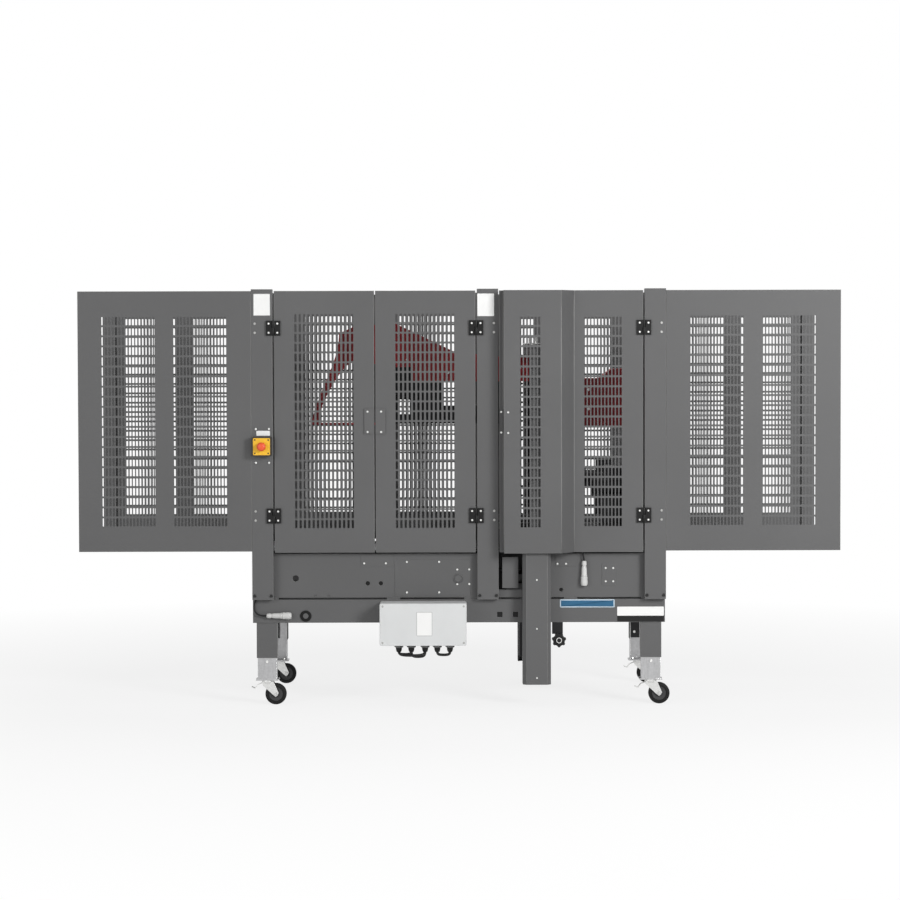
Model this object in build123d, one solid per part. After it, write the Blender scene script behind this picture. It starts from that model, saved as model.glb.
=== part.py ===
from build123d import *
from math import cos, radians, sin, sqrt
import os

os.makedirs("parts", exist_ok=True)

# overall sizes in millimetres with the floor at zero height
line_half = 1716
guard_half = 465
post_top = 1880
guard_top = 1872

# base frame
frame_start = -936
frame_end = 928
beam_half = 430
beam_bottom = 373
beam_top = 478
beam_depth = 50
beam_wall = 4
panel_half = 425
panel_bottom = 486
panel_top = 684
panel_wall = 3
panel_sill = 35
pad_places = (-850, -300, 50, 500, 850)
lift_pockets = (181, 252)

# legs and casters
leg_width = 94
leg_depth = 56
leg_wall = 3
outer_leg_bottom = 213
inner_leg_bottom = 116
slide_clearance = 0.5
leg_inset = 63
wheel_radius = 48
wheel_width = 32
wheel_trail = 38
caster_plate = 6

# guard posts and sheets
post_width = 96
post_wall = 3
post_lip = 22
post_bottom = 480
centre_post_x = 127.5
sheet = 2
fold = 20
door_bottom = 693
wing_bottom = 699
door_gap = 5
wing_lip = 55
wing_return = 30

# slots punched in the guards
slot_width = 10.5
slot_height = 37
wing_pitch = 15.2
wing_columns = 16
wing_rows = 21
wing_row_pitch = 45.3
wing_slots_low = 814
door_pitch = 19.6
door_columns = 14
door_rows = 22
door_row_pitch = 44.15
door_slots_low = 804

# exit door with its bulge around the lift column
bulge_start = 198
bulge_end = 457
bulge_slope_end = 516
bulge_out = 75
bulge_pitch = 15.8
bulge_slots_low = 810

# hinges and latches
hinge_height = 67
hinge_leaf = 29
hinge_thick = 8
knuckle_radius = 6.5
pin_radius = 4
pin_clearance = 0.3
hinge_heights = (860, 1705)
latch_bottom = 1229
latch_top = 1341
latch_width = 45
latch_thick = 6

# bed and rollers and case path
bed_level = 695
path_half = 285
roller_radius = 24
roller_pitch = 100
roller_wall = 5
rail_height = 90
bar_size = 40

# side drive
belt_start = 95
belt_end = 800
belt_thick = 4
belt_height = 80
belt_bottom = 712
pulley_radius = 34
unit_depth = 80

# lift columns and head
column_x = 346
column_width = 64
column_bottom = 130
column_top = 1630
column_wall = 4
column_lip = 12
cover_width = 127
cover_out = 50
cover_corner = 16
stay_bottom = 219
stay_width = 15
cover_bottom = 99
cover_top = 712
screw_radius = 8
carriage_height = 110
head_half = 75
head_wall = 3
head_bottom = 1459
head_top = 1572
tape_half = 38
path_top = 1262
plow_half = 35
squeeze_radius = 20

# electrics
box_start = -360
box_end = 30
box_bottom = 281
box_top = 471
box_depth = 115
box_lid = 15
stop_height = 1174
stop_width = 86
stop_box_height = 88
stop_depth = 45
button_radius = 20


def block(x0, x1, y0, y1, z0, z1):
    """A plain block between two corners."""
    size = Box(x1 - x0, y1 - y0, z1 - z0)
    return Pos((x0 + x1) / 2, (y0 + y1) / 2, (z0 + z1) / 2) * size


def rod(start, end, radius):
    """A round bar between two points."""
    line = Vector(*end) - Vector(*start)
    plane = Plane(origin=start, z_dir=line)
    return extrude(plane * Circle(radius), line.length)


def many_sided(start, end, radius, sides=8):
    """A bar with flat sides between two points, measured to its corners."""
    line = Vector(*end) - Vector(*start)
    plane = Plane(origin=start, z_dir=line)
    return extrude(plane * RegularPolygon(radius, sides), line.length)


def ring(points, wall):
    """Closed outline of a folded sheet that follows the points with its thickness on the left."""
    normals = []
    for a, b in zip(points, points[1:]):
        length = sqrt((b[0] - a[0]) ** 2 + (b[1] - a[1]) ** 2)
        normals.append(((a[1] - b[1]) / length, (b[0] - a[0]) / length))
    inner = []
    for i, p in enumerate(points):
        before = normals[max(i - 1, 0)]
        after = normals[min(i, len(normals) - 1)]
        scale = wall / (1 + before[0] * after[0] + before[1] * after[1])
        inner.append((p[0] + (before[0] + after[0]) * scale, p[1] + (before[1] + after[1]) * scale))
    return list(points) + inner[::-1]


def upright(points, z0, z1):
    """A plan outline raised from one height to another."""
    return Pos(0, 0, z0) * extrude(make_face(Polyline(*points, close=True)), z1 - z0)


def crosswise(points, y0, y1):
    """An outline in the X and Z directions carried across the machine."""
    face = make_face(Polyline(*[(x, 0, z) for x, z in points], close=True))
    return Pos(0, y0, 0) * extrude(face, y1 - y0, dir=(0, 1, 0))


def lengthwise(points, x0, x1):
    """An outline in the Y and Z directions carried along the machine."""
    face = make_face(Polyline(*[(0, y, z) for y, z in points], close=True))
    return Pos(x0, 0, 0) * extrude(face, x1 - x0, dir=(1, 0, 0))


def other_side(shape):
    """The same piece on the rear side."""
    return mirror(shape, about=Plane.XZ)


def save(name, solids):
    """Write one named piece."""
    kept = solids if isinstance(solids, (list, tuple)) else [solids]
    flat = [solid for shape in kept for solid in shape.solids()]
    export_step(Compound(children=flat) if len(flat) > 1 else flat[0], f"parts/{name}.step")


# side beams as channels open to the inside
beam_path = [
    (-beam_half + beam_depth, beam_bottom),
    (-beam_half, beam_bottom),
    (-beam_half, beam_top),
    (-beam_half + beam_depth, beam_top),
]
beam = lengthwise(ring(beam_path[::-1], beam_wall), frame_start, frame_end)
for x in pad_places:
    beam += block(x - 30, x + 30, -panel_half, -panel_half + 30, beam_top, panel_bottom)
front_beam = beam
for x in lift_pockets:
    front_beam -= block(x - 12, x + 12, -beam_half - 1, -beam_half + 6, 397, 421)
save("side_beams", [front_beam, other_side(beam)])

# cross members between the beams
inner_half = beam_half - beam_wall
member_flange = 50
member_low = beam_bottom + beam_wall
member_high = beam_top - beam_wall
joint_bolts_across = 500
joint_bolts_up = 50
joint_bolt_radius = 5.5


def member(web, way):
    """A channel across the frame with its web at one place and its flanges towards one end."""
    tips = web + way * member_flange
    path = [(tips, member_low), (web, member_low), (web, member_high), (tips, member_high)]
    if way > 0:
        path = path[::-1]
    return crosswise(ring(path, beam_wall), -inner_half, inner_half)


member_middle = (member_low + member_high) / 2
members = [member(-260, 1), member(420, 1)]
for web, way in ((frame_start + 4, 1), (frame_end - 4, -1)):
    end = member(web, way)
    for y in (-joint_bolts_across / 2, joint_bolts_across / 2):
        for z in (member_middle - joint_bolts_up / 2, member_middle + joint_bolts_up / 2):
            end -= rod((web - 10, y, z), (web + 10, y, z), joint_bolt_radius)
    members.append(end)
save("cross_members", members)

# bed side panels as folded sheets, lower beside the lift column
def bed_panel(x0, x1):
    path = [(-panel_half + 30, panel_bottom), (-panel_half, panel_bottom)]
    path += [(-panel_half, panel_top), (-panel_half + 30, panel_top)]
    return lengthwise(ring(path[::-1], panel_wall), x0, x1)


infeed_panel_end = centre_post_x + post_width / 2
panel = bed_panel(frame_start + 3, infeed_panel_end) + bed_panel(column_x, frame_end - 3)
panel += block(infeed_panel_end - 1, column_x + 1, -panel_half, -panel_half + panel_wall, panel_bottom,
               panel_bottom + panel_sill)
front_panel = panel
for x, z, radius in ((-742, 574, 14.5), (-416, 551, 10), (-357, 551, 10), (458, 520, 9)):
    front_panel -= many_sided((x, -panel_half - 5, z), (x, -panel_half + 5, z), radius, 12)
save("bed_side_panels", [front_panel, other_side(panel)])

# cover plates on the bed side panels and the folded cover beside the lift column
plate_face = -panel_half - sheet
plates = [
    block(-294, 47, plate_face, -panel_half, 493, 657),
    block(-447, -302, plate_face, -panel_half, 626, 682),
    block(432, 530, plate_face, -panel_half, 626, 682),
    block(643, 705, plate_face, -panel_half, 541, 636),
]
bar_end = -panel_half + panel_wall
fold_path = [(222, bar_end), (192, bar_end), (192, -447), (264, -447), (264, bar_end), (234, bar_end)]
plates.append(upright(ring(fold_path, sheet), 530, 669))
save("bed_cover_plates", plates + [other_side(p) for p in plates])

# outer and inner legs
leg_centres = (frame_start + leg_inset, frame_end - leg_inset)
leg_face = inner_half


def leg(centre, width, depth, wall, face, z0, z1):
    x0 = centre - width / 2
    x1 = centre + width / 2
    path = [(x1, -face + depth), (x1, -face), (x0, -face), (x0, -face + depth)]
    return upright(ring(path[::-1], wall), z0, z1)


outer_legs = []
inner_legs = []
for centre in leg_centres:
    outer = leg(centre, leg_width, leg_depth, leg_wall, leg_face, outer_leg_bottom, beam_bottom)
    step = leg_wall + slide_clearance
    inner = leg(centre, leg_width - 2 * step, leg_depth - step, leg_wall, leg_face - step,
                inner_leg_bottom, beam_bottom - 12)
    foot = block(centre - 52, centre + 52, -leg_face + 2, -leg_face + leg_depth + 24,
                 inner_leg_bottom - caster_plate, inner_leg_bottom)
    inner = inner + foot
    outer_legs += [outer, other_side(outer)]
    inner_legs += [inner, other_side(inner)]
save("outer_legs", outer_legs)
save("inner_legs", inner_legs)

# casters with bent forks and brake pedals and moulded wheels
caster_y = leg_face - 30
swivel_radius = 27
fork_top = inner_leg_bottom - caster_plate - 0.3
cheek = 3
cheek_gap = wheel_width / 2 + 2
boss = 13
axle_radius = 5.5
axle_bore = 6


def caster_fork(centre, y):
    """A pressed fork under its ball race, with the axle and the brake pedal."""
    axle_x = centre + wheel_trail
    top = fork_top - 5
    fork = many_sided((centre, y, top), (centre, y, fork_top), swivel_radius, 16)
    fork += block(centre - 24, centre + 28, y - cheek_gap - cheek, y + cheek_gap + cheek, top - 3, top)
    outline = [(centre - 24, top), (centre + 28, top), (axle_x + boss, wheel_radius + 4)]
    outline += [(axle_x, wheel_radius - boss), (axle_x - boss, wheel_radius - 3), (centre - 20, top - 18)]
    for side in (-1, 1):
        y0, y1 = sorted((y + side * cheek_gap, y + side * (cheek_gap + cheek)))
        fork += crosswise(outline, y0, y1)
    axle_end = cheek_gap + 8
    axle_start = (axle_x, y - axle_end, wheel_radius)
    fork += many_sided(axle_start, (axle_x, y + axle_end, wheel_radius), axle_radius)
    path = [(centre - 18, top - 3), (centre - 46, top - 14), (centre - 58, top - 30), (centre - 72, top - 24)]
    return fork + crosswise(ring(path, 3), y - 13, y + 13)


def caster_wheel(axle_x, y):
    """A solid wheel with its axle bore."""
    half = wheel_width / 2
    wheel = many_sided((axle_x, y - half, wheel_radius), (axle_x, y + half, wheel_radius), wheel_radius, 32)
    return wheel - rod((axle_x, y - half - 1, wheel_radius), (axle_x, y + half + 1, wheel_radius), axle_bore)


for x_name, centre in zip(("infeed", "exit"), leg_centres):
    for y_name, side in (("front", -1), ("rear", 1)):
        place = f"{x_name}_{y_name}"
        save(f"caster_fork_{place}", caster_fork(centre, side * caster_y))
        save(f"caster_wheel_{place}", caster_wheel(centre + wheel_trail, side * caster_y))

# posts as lipped channels open to the inside
post_depth = guard_half - panel_half
post_centres = (frame_start + post_width / 2, centre_post_x, frame_end + 2 - post_width / 2)
posts = []
for centre in post_centres:
    x0 = centre - post_width / 2
    x1 = centre + post_width / 2
    path = [(x1 - post_lip, -panel_half), (x1, -panel_half), (x1, -guard_half)]
    path += [(x0, -guard_half), (x0, -panel_half), (x0 + post_lip, -panel_half)]
    posts.append(upright(ring(path[::-1], post_wall), post_bottom, post_top))
save("front_posts", posts)
save("rear_posts", [other_side(p) for p in posts])


# perforated sheets
def columns(first, count, pitch):
    return [first + i * pitch for i in range(count)]


def slot_cutters(places, z_low, z_high, y0, y1):
    """Long slots, one for each column of punched holes."""
    half = slot_width / 2
    return [block(x - half, x + half, y0, y1, z_low, z_high) for x in places]


def wing(x_outer, x_inner):
    """An end wing at the front with a deep return along its outer edge."""
    inward = 1 if x_inner > x_outer else -1
    face = -guard_half
    path = [
        (x_outer + inward * wing_lip, face + wing_return),
        (x_outer, face + wing_return),
        (x_outer, face),
        (x_inner, face),
        (x_inner, face + fold),
    ]
    if inward < 0:
        path = path[::-1]
    panel = upright(ring(path, sheet), wing_bottom, guard_top)
    x0, x1 = sorted((x_outer, x_inner))
    panel += block(x0 + sheet, x1 - sheet, face + sheet / 2, face + fold, guard_top - sheet, guard_top)
    panel += block(x0 + sheet, x1 - sheet, face + sheet / 2, face + fold, wing_bottom, wing_bottom + sheet)
    return panel


field_height = (wing_rows - 1) * wing_row_pitch + slot_height
wing_fields = {"infeed": (-1603, -1280), "exit": (1045, 1369)}
for name, x_outer, x_inner in (("infeed", -line_half, frame_start), ("exit", line_half, frame_end + 2)):
    panel = wing(x_outer, x_inner)
    cutters = []
    for first in wing_fields[name]:
        places = columns(first, wing_columns, wing_pitch)
        cutters += slot_cutters(places, wing_slots_low, wing_slots_low + field_height, -guard_half - 5,
                                -guard_half + 5)
    panel = panel - cutters
    save(f"wing_{name}_front", panel)
    save(f"wing_{name}_rear", other_side(panel))

# doors
left_edge = post_centres[0] + post_width / 2
centre_left = post_centres[1] - post_width / 2
centre_right = post_centres[1] + post_width / 2
right_edge = post_centres[2] - post_width / 2
hinge_room = 7
door_split = (left_edge + centre_left) / 2
door_face = -guard_half


def flat_door(x0, x1):
    path = [(x0, door_face + fold), (x0, door_face), (x1, door_face), (x1, door_face + fold)]
    panel = upright(ring(path, sheet), door_bottom, guard_top)
    panel += block(x0 + sheet, x1 - sheet, door_face + sheet / 2, door_face + fold, guard_top - sheet,
                   guard_top)
    panel += block(x0 + sheet, x1 - sheet, door_face + sheet / 2, door_face + fold, door_bottom,
                   door_bottom + sheet)
    return panel


door_height = (door_rows - 1) * door_row_pitch + slot_height
door_1_x = (left_edge + hinge_room, door_split - door_gap / 2)
door_2_x = (door_split + door_gap / 2, centre_left - hinge_room)
doors = {}
for name, (x0, x1), first in (("infeed", door_1_x, -736), ("middle", door_2_x, -282)):
    panel = flat_door(x0, x1)
    places = columns(first, door_columns, door_pitch)
    panel = panel - slot_cutters(places, door_slots_low, door_slots_low + door_height, door_face - 5,
                                 door_face + 5)
    doors[name] = panel

door_3_x = (centre_right + 4, right_edge - hinge_room)
bulge_face = door_face - bulge_out
path = [
    (door_3_x[0], door_face + fold),
    (door_3_x[0], door_face),
    (bulge_start, door_face),
    (bulge_start, bulge_face),
    (bulge_end, bulge_face),
    (bulge_slope_end, door_face),
    (door_3_x[1], door_face),
    (door_3_x[1], door_face + fold),
]
panel = upright(ring(path, sheet), door_bottom, guard_top)
for edge in (guard_top - sheet, door_bottom):
    panel += block(bulge_slope_end + 4, door_3_x[1] - sheet, door_face + sheet / 2, door_face + fold,
                   edge, edge + sheet)
cutters = slot_cutters(columns(278.3, 6, bulge_pitch), bulge_slots_low, bulge_slots_low + field_height,
                       bulge_face - 5, bulge_face + 5)
cutters += slot_cutters(columns(567.5, 11, bulge_pitch), bulge_slots_low, bulge_slots_low + field_height,
                        door_face - 5, door_face + 5)
doors["exit"] = panel - cutters
for name, panel in doors.items():
    save(f"door_{name}_front", panel)
    save(f"door_{name}_rear", other_side(panel))

# hinges and latches
pin_y = door_face - knuckle_radius - 0.3
hinge_axes = {
    "infeed": (left_edge + hinge_room / 2, 1),
    "middle": (centre_left - hinge_room / 2, -1),
    "exit": (right_edge - hinge_room / 2, -1),
}
knuckle = hinge_height / 2
post_leaves = []
fittings = {}
for name, (axis, way) in hinge_axes.items():
    fittings[name] = []
    for height in hinge_heights:
        low = height - hinge_height / 2
        for moving in (False, True):
            direction = way if moving else -way
            start = axis + direction * (knuckle_radius + 1)
            end = axis + direction * (hinge_room / 2 + hinge_leaf)
            x0, x1 = sorted((start, end))
            leaf = block(x0, x1, door_face - hinge_thick, door_face, low, low + hinge_height)
            z0 = low + knuckle + pin_clearance if moving else low
            z1 = low + hinge_height if moving else low + knuckle
            x2, x3 = sorted((axis, start))
            leaf += many_sided((axis, pin_y, z0), (axis, pin_y, z1), knuckle_radius)
            leaf += block(x2, x3, pin_y - 2, pin_y + 2, z0, z1)
            if moving:
                bore = (pin_radius + pin_clearance) / cos(radians(22.5))
                leaf -= many_sided((axis, pin_y, low), (axis, pin_y, low + hinge_height), bore)
            else:
                leaf += rod((axis, pin_y, low), (axis, pin_y, low + hinge_height), pin_radius)
            (fittings[name] if moving else post_leaves).append(leaf)
latch_face = door_face - latch_thick
fittings["infeed"].append(block(door_1_x[1] - latch_width, door_1_x[1], latch_face, door_face,
                                latch_bottom, latch_top))
fittings["middle"].append(block(door_2_x[0], door_2_x[0] + latch_width, latch_face, door_face,
                                latch_bottom, latch_top))
fittings["exit"].append(block(door_3_x[0], bulge_start - 1, latch_face, door_face, latch_bottom, latch_top))
save("post_hinge_leaves", post_leaves + [other_side(p) for p in post_leaves])
for name, pieces in fittings.items():
    save(f"door_fittings_{name}_front", pieces)
    save(f"door_fittings_{name}_rear", [other_side(p) for p in pieces])

# bed cross bars, roller rails and rollers
rail_bottom = bed_level - 5 - rail_height
bars = []
bar_places = (-800, -310, 240, 780)
for x in bar_places:
    bars.append(block(x - bar_size / 2, x + bar_size / 2, -panel_half + panel_wall, panel_half - panel_wall,
                      rail_bottom - bar_size, rail_bottom))
save("bed_cross_bars", bars)
rail_path = [(-path_half - 40, rail_bottom), (-path_half, rail_bottom)]
rail_path += [(-path_half, rail_bottom + rail_height), (-path_half - 40, rail_bottom + rail_height)]
rail = lengthwise(ring(rail_path, 3), frame_start + 10, frame_end - 10)
save("roller_rails", [rail, other_side(rail)])
rollers = []
roller_z = bed_level - roller_radius
for x in columns(-880, 6, roller_pitch) + columns(320, 6, roller_pitch):
    roller = many_sided((x, -path_half + 3, roller_z), (x, path_half - 3, roller_z), roller_radius, 12)
    roller += many_sided((x, -path_half, roller_z), (x, path_half, roller_z), 6.5, 6)
    rollers.append(roller)
save("bed_rollers", rollers)

# lower tape head between the rollers
lower = block(bar_places[1] + bar_size / 2, bar_places[2] - bar_size / 2, -60, 60, rail_bottom - 120,
              bed_level - 12)
save("lower_tape_head", lower)

# side belt units
belt_top = belt_bottom + belt_height
units = []
belts = []
motors = []
centre_y = -path_half - pulley_radius - belt_thick


def racetrack(x0, x1, y, radius, z0, z1):
    """A long outline with half round ends, each of eight flats."""
    turns = [radians(90 - i * 22.5) for i in range(9)]
    points = [(x1 - radius + radius * cos(a), y + radius * sin(a)) for a in turns]
    points += [(x0 + radius - radius * cos(a), y - radius * sin(a)) for a in turns]
    return upright(points, z0, z1)


belt = racetrack(belt_start, belt_end, centre_y, pulley_radius + belt_thick, belt_bottom, belt_top)
belt -= racetrack(belt_start + belt_thick, belt_end - belt_thick, centre_y, pulley_radius, belt_bottom - 1,
                  belt_top + 1)
core = racetrack(belt_start + belt_thick + 0.3, belt_end - belt_thick - 0.3, centre_y, pulley_radius - 0.3,
                 belt_bottom - 6, belt_top + 6)
unit = core + block(belt_start + 80, belt_end - 20, centre_y - 26, centre_y + 26, belt_top + 6, belt_top + 26)
for x in (230, 780):
    unit += block(x - 15, x + 15, centre_y - 20, -path_half - 6, rail_bottom + rail_height, belt_bottom - 6)
motor_y = -path_half - 62
motor_x = 695
gearbox_top = 944
motor_radius = 43
motor = block(motor_x - 45, motor_x + 45, motor_y - 40, motor_y + 40, belt_top + 26, gearbox_top + 6)
motor_z = gearbox_top + motor_radius
motor += many_sided((motor_x - 98, motor_y, motor_z), (motor_x + 100, motor_y, motor_z), motor_radius, 16)
motor += block(motor_x - 40, motor_x + 40, motor_y - 30, motor_y + 30, motor_z + 30, motor_z + 93)
save("side_belt_units", [unit, other_side(unit)])
save("side_belts", [belt, other_side(belt)])
save("side_belt_motors", [motor, other_side(motor)])

# infeed guide rails with flared ends on short posts
guide_path = [(-925, -path_half - 60), (-850, -path_half - 4), (71, -path_half - 4)]
guide = upright(ring(guide_path[::-1], 6), 780, 834)
for x in (-780, -300, 20):
    guide += block(x - 12, x + 12, -path_half - 30, -path_half - 10, rail_bottom + rail_height, 820)
save("guide_rails", [guide, other_side(guide)])

# lift columns outside the beams as lipped channels
column_face = -guard_half - cover_out + sheet
column_half = column_width / 2
path = [
    (column_x + column_half - column_lip, -beam_half),
    (column_x + column_half, -beam_half),
    (column_x + column_half, column_face),
    (column_x - column_half, column_face),
    (column_x - column_half, -beam_half),
    (column_x - column_half + column_lip, -beam_half),
]
column = upright(ring(path[::-1], column_wall), column_bottom, column_top)
save("lift_columns", [column, other_side(column)])

# covers folded around the lower end of the columns
cover_face = column_face - sheet
x0 = column_x - cover_width / 2
x1 = column_x + cover_width / 2
path = [(x1, -beam_half), (x1, cover_face + cover_corner), (x1 - cover_corner, cover_face)]
path += [(x0 + cover_corner, cover_face), (x0, cover_face + cover_corner), (x0, -beam_half)]
cover = upright(ring(path[::-1], sheet), cover_bottom, cover_top)
save("column_covers", [cover, other_side(cover)])

# stay plate that holds the front column under its side beam
stay = block(x0 - stay_width, x0, -beam_half + 6, -beam_half + 60, stay_bottom, beam_bottom)
stay += block(x0, column_x - column_half - 2, -beam_half + 6, -beam_half + 12, stay_bottom, beam_bottom)
save("column_stays", stay)

# lift screws between a foot plate and the cap of the column
screw_y = (column_face - beam_half) / 2
inside = column_half - column_wall
screw_start = (column_x, screw_y, column_bottom + 20)
screw = many_sided(screw_start, (column_x, screw_y, column_top + 34), screw_radius, 12)
screw += block(column_x - column_half, column_x + column_half, column_face, -beam_half,
               column_top, column_top + 6)
screw += block(column_x - inside, column_x + inside, column_face + column_wall, -beam_half - column_wall,
               column_bottom + 20, column_bottom + 28)
save("lift_screws", [screw, other_side(screw)])

# carriages inside the columns and the square tube between them that carries the head
run = 0.8
arm_size = 60
arm_wall = 4
arm_half = 407
carriage_low = head_top + 28 - carriage_height
carriage_inner = -beam_half - column_wall - run
carriage = block(column_x - inside + run, column_x + inside - run, column_face + column_wall + run,
                 carriage_inner, carriage_low, head_top + 28)
neck_half = column_half - column_lip - 3
carriage += block(column_x - neck_half, column_x + neck_half, carriage_inner - 1, -arm_half + 12,
                  carriage_low + 10, head_top + 28)
nut_bore = screw_radius + 1.5
bore_start = (column_x, screw_y, carriage_low - 1)
carriage -= many_sided(bore_start, (column_x, screw_y, head_top + 30), nut_bore, 12)
arm_side = arm_size / 2
arm = block(column_x - arm_side, column_x + arm_side, -arm_half, arm_half, head_top, head_top + arm_size)
hollow = arm_size / 2 - arm_wall
arm -= block(column_x - hollow, column_x + hollow, -arm_half - 1, arm_half + 1, head_top + arm_wall,
             head_top + arm_size - arm_wall)
save("head_cross_beam", arm + carriage + other_side(carriage))

# head beam folded from sheet and deeper over the exit
head_line = [
    (-492, 1713),
    (-299, 1730),
    (-22, 1597),
    (200, head_top),
    (430, head_top),
    (570, 1472),
    (650, 1472),
    (706, 1514),
    (790, 1517),
]
exit_low = path_top - 12
lower_line = [(790, exit_low), (570, exit_low), (540, head_bottom), (-222, head_bottom), (-222, 1526)]
lower_line += [(-302, 1526), (-492, 1558)]
skin_path = [lower_line[-1]] + head_line + [lower_line[0]]
head = crosswise(ring(skin_path[::-1], head_wall), -head_half + head_wall, head_half - head_wall)
for side in (-1, 1):
    y0, y1 = sorted((side * (head_half - head_wall), side * head_half))
    head += crosswise(head_line + lower_line, y0, y1)
head += block(-222, 540, -head_half + head_wall, head_half - head_wall, head_bottom, head_bottom + 5)
save("head_beam", head)

# upper tape head as two side plates with rollers between them
plate = [(-300, 1526), (-225, 1526), (-225, head_bottom), (-73, head_bottom), (-73, 1345), (110, 1345)]
plate += [(110, head_bottom), (240, head_bottom), (240, path_top), (-300, path_top)]
tape = None
for side in (-1, 1):
    y0, y1 = sorted((side * (tape_half - 3), side * tape_half))
    cheek_plate = crosswise(plate, y0, y1) - block(-278, -223, y0, y1, 1305, 1375)
    tape = cheek_plate if tape is None else tape + cheek_plate
for x, z, radius in ((-255, 1285, 22), (190, 1285, 22), (-60, 1300, 14), (-180, 1420, 14)):
    tape += many_sided((x, -tape_half + 3, z), (x, tape_half - 3, z), radius, 12)
tape += block(-215, -80, -tape_half + 3, tape_half - 3, 1440, 1446)
tape += many_sided((-297, -tape_half - 5, 1396), (-165, -tape_half - 5, 1363), 6)
save("upper_tape_head", tape)

# flap plow as a tapering blade with a curved shoe and two skid bars
shoe_line = [(-557, 1684), (-577, 1569), (-629, 1438), (-668, 1336), (-690, path_top)]
back_line = [(-650, path_top), (-640, 1340), (-600, 1425), (-560, 1490), (-492, 1558)]
front_curve = Spline(*[(x, 0, z) for x, z in shoe_line])
back_curve = Spline(*[(x, 0, z) for x, z in back_line])
front_edge = Polyline(*[front_curve @ (i / 12) for i in range(13)])
back_edge = Polyline(*[back_curve @ (i / 8) for i in range(9)])
top_edge = Polyline((-492, 0, 1558), (-492, 0, 1713), (-557, 0, 1684))
bottom_edge = Line((-690, 0, path_top), (-650, 0, path_top))
blade_face = make_face([front_edge, bottom_edge, back_edge, top_edge])
blade = Pos(0, -3, 0) * extrude(blade_face, 6, dir=(0, 1, 0))
inner_edge = Pos(5, 0, 0) * front_edge
shoe_face = make_face([front_edge, inner_edge, Line(front_edge @ 0, inner_edge @ 0),
                       Line(front_edge @ 1, inner_edge @ 1)])
shoe = Pos(0, -plow_half, 0) * extrude(shoe_face, 2 * plow_half, dir=(0, 1, 0))
plow = blade + shoe
for side in (-1, 1):
    y0, y1 = sorted((side * (tape_half - 7), side * tape_half))
    plow += block(-688, -300, y0, y1, path_top - 4, path_top + 4)
plow += block(-688, -682, -tape_half, tape_half, path_top - 4, path_top + 4)
save("flap_plow", plow)

# squeeze rollers between the head plates at the exit end
squeeze = []
for x in (610, 680, 750):
    roller = many_sided((x, -60, exit_low + 18), (x, 60, exit_low + 18), squeeze_radius, 12)
    squeeze.append(roller + many_sided((x, -head_half + head_wall, exit_low + 18),
                                       (x, head_half - head_wall, exit_low + 18), 7, 6))
save("squeeze_rollers", squeeze)

# control box with lid and cable glands
box_back = -beam_half
box_corner = 8
box = block(box_start, box_end, box_back - box_depth, box_back, box_bottom, box_top)
save("control_box", fillet(box.edges().filter_by(Axis.Y), box_corner))
lid = block(box_start, box_end, box_back - box_depth - box_lid, box_back - box_depth, box_bottom, box_top)
save("control_box_lid", fillet(lid.edges().filter_by(Axis.Y), box_corner))
gland_y = box_back - 62
glands = []
for x in (-275, -219, -157, -102, -45):
    gland = many_sided((x, gland_y, box_bottom - 14), (x, gland_y, box_bottom), 21, 6)
    gland += many_sided((x, gland_y, box_bottom - 34), (x, gland_y, box_bottom - 14), 10)
    glands.append(gland)
save("cable_glands", glands)

# emergency stop box and its mushroom button
stop_x = post_centres[0]
stop_face = door_face - stop_depth
stop = block(stop_x - stop_width / 2, stop_x + stop_width / 2, stop_face, door_face,
             stop_height - stop_box_height / 2, stop_height + stop_box_height / 2)
stop = fillet(stop.edges().filter_by(Axis.Y), 5)
stem = 10.5
stop -= many_sided((stop_x, stop_face - 1, stop_height), (stop_x, door_face - 8, stop_height), stem + 0.8, 12)
save("stop_box", stop)
button = many_sided((stop_x, door_face - 16, stop_height), (stop_x, stop_face - 17, stop_height), stem, 12)
for start, end, radius in ((14, 26, button_radius), (26, 34, button_radius - 5)):
    button += many_sided((stop_x, stop_face - start, stop_height), (stop_x, stop_face - end, stop_height),
                         radius, 20)
save("stop_button", button)

# cable plugs on the side beam and on the bed panel
def plug(start, way):
    """A round plug in three steps, from its cable end."""
    body = None
    for length, reach, radius in ((0, 24, 8), (22, 54, 12), (74, 38, 16)):
        a = [start[i] + way[i] * length for i in range(3)]
        b = [start[i] + way[i] * (length + reach) for i in range(3)]
        step = many_sided(a, b, radius, 10)
        body = step if body is None else body + step
    return body


lying = plug((-873, -beam_half - 16, 407), (1, 0, 0))
standing = plug((562, -panel_half - 16, 652), (0, 0, -1))
save("cable_plugs", [lying, standing])

# hand knob on a bracket under the exit side beam
knob_x = 448
knob_z = 293
knob_radius = 33
bracket = block(418, 466, -beam_half, -beam_half + 36, 320, beam_bottom)
bracket += block(knob_x - 13, knob_x + 13, -beam_half + 4, -beam_half + 26, knob_z - 12, 322)
bracket -= rod((knob_x, -beam_half - 1, knob_z), (knob_x, -beam_half + 40, knob_z), 6)
save("knob_bracket", bracket)
knob_plane = Plane(origin=(knob_x, -beam_half, knob_z), z_dir=(0, -1, 0))
lobes = RegularPolygon(knob_radius - 6, 14) + PolarLocations(knob_radius - 8, 7) * RegularPolygon(8, 8)
knob = extrude(knob_plane * lobes, 20)
knob += extrude(knob_plane * RegularPolygon(13, 16), 26)
knob += rod((knob_x, -beam_half - 2, knob_z), (knob_x, -beam_half + 32, knob_z), 5.5)
save("hand_knob", knob)
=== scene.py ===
import bmesh
import bpy
import math
from mathutils import Matrix, Vector


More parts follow.
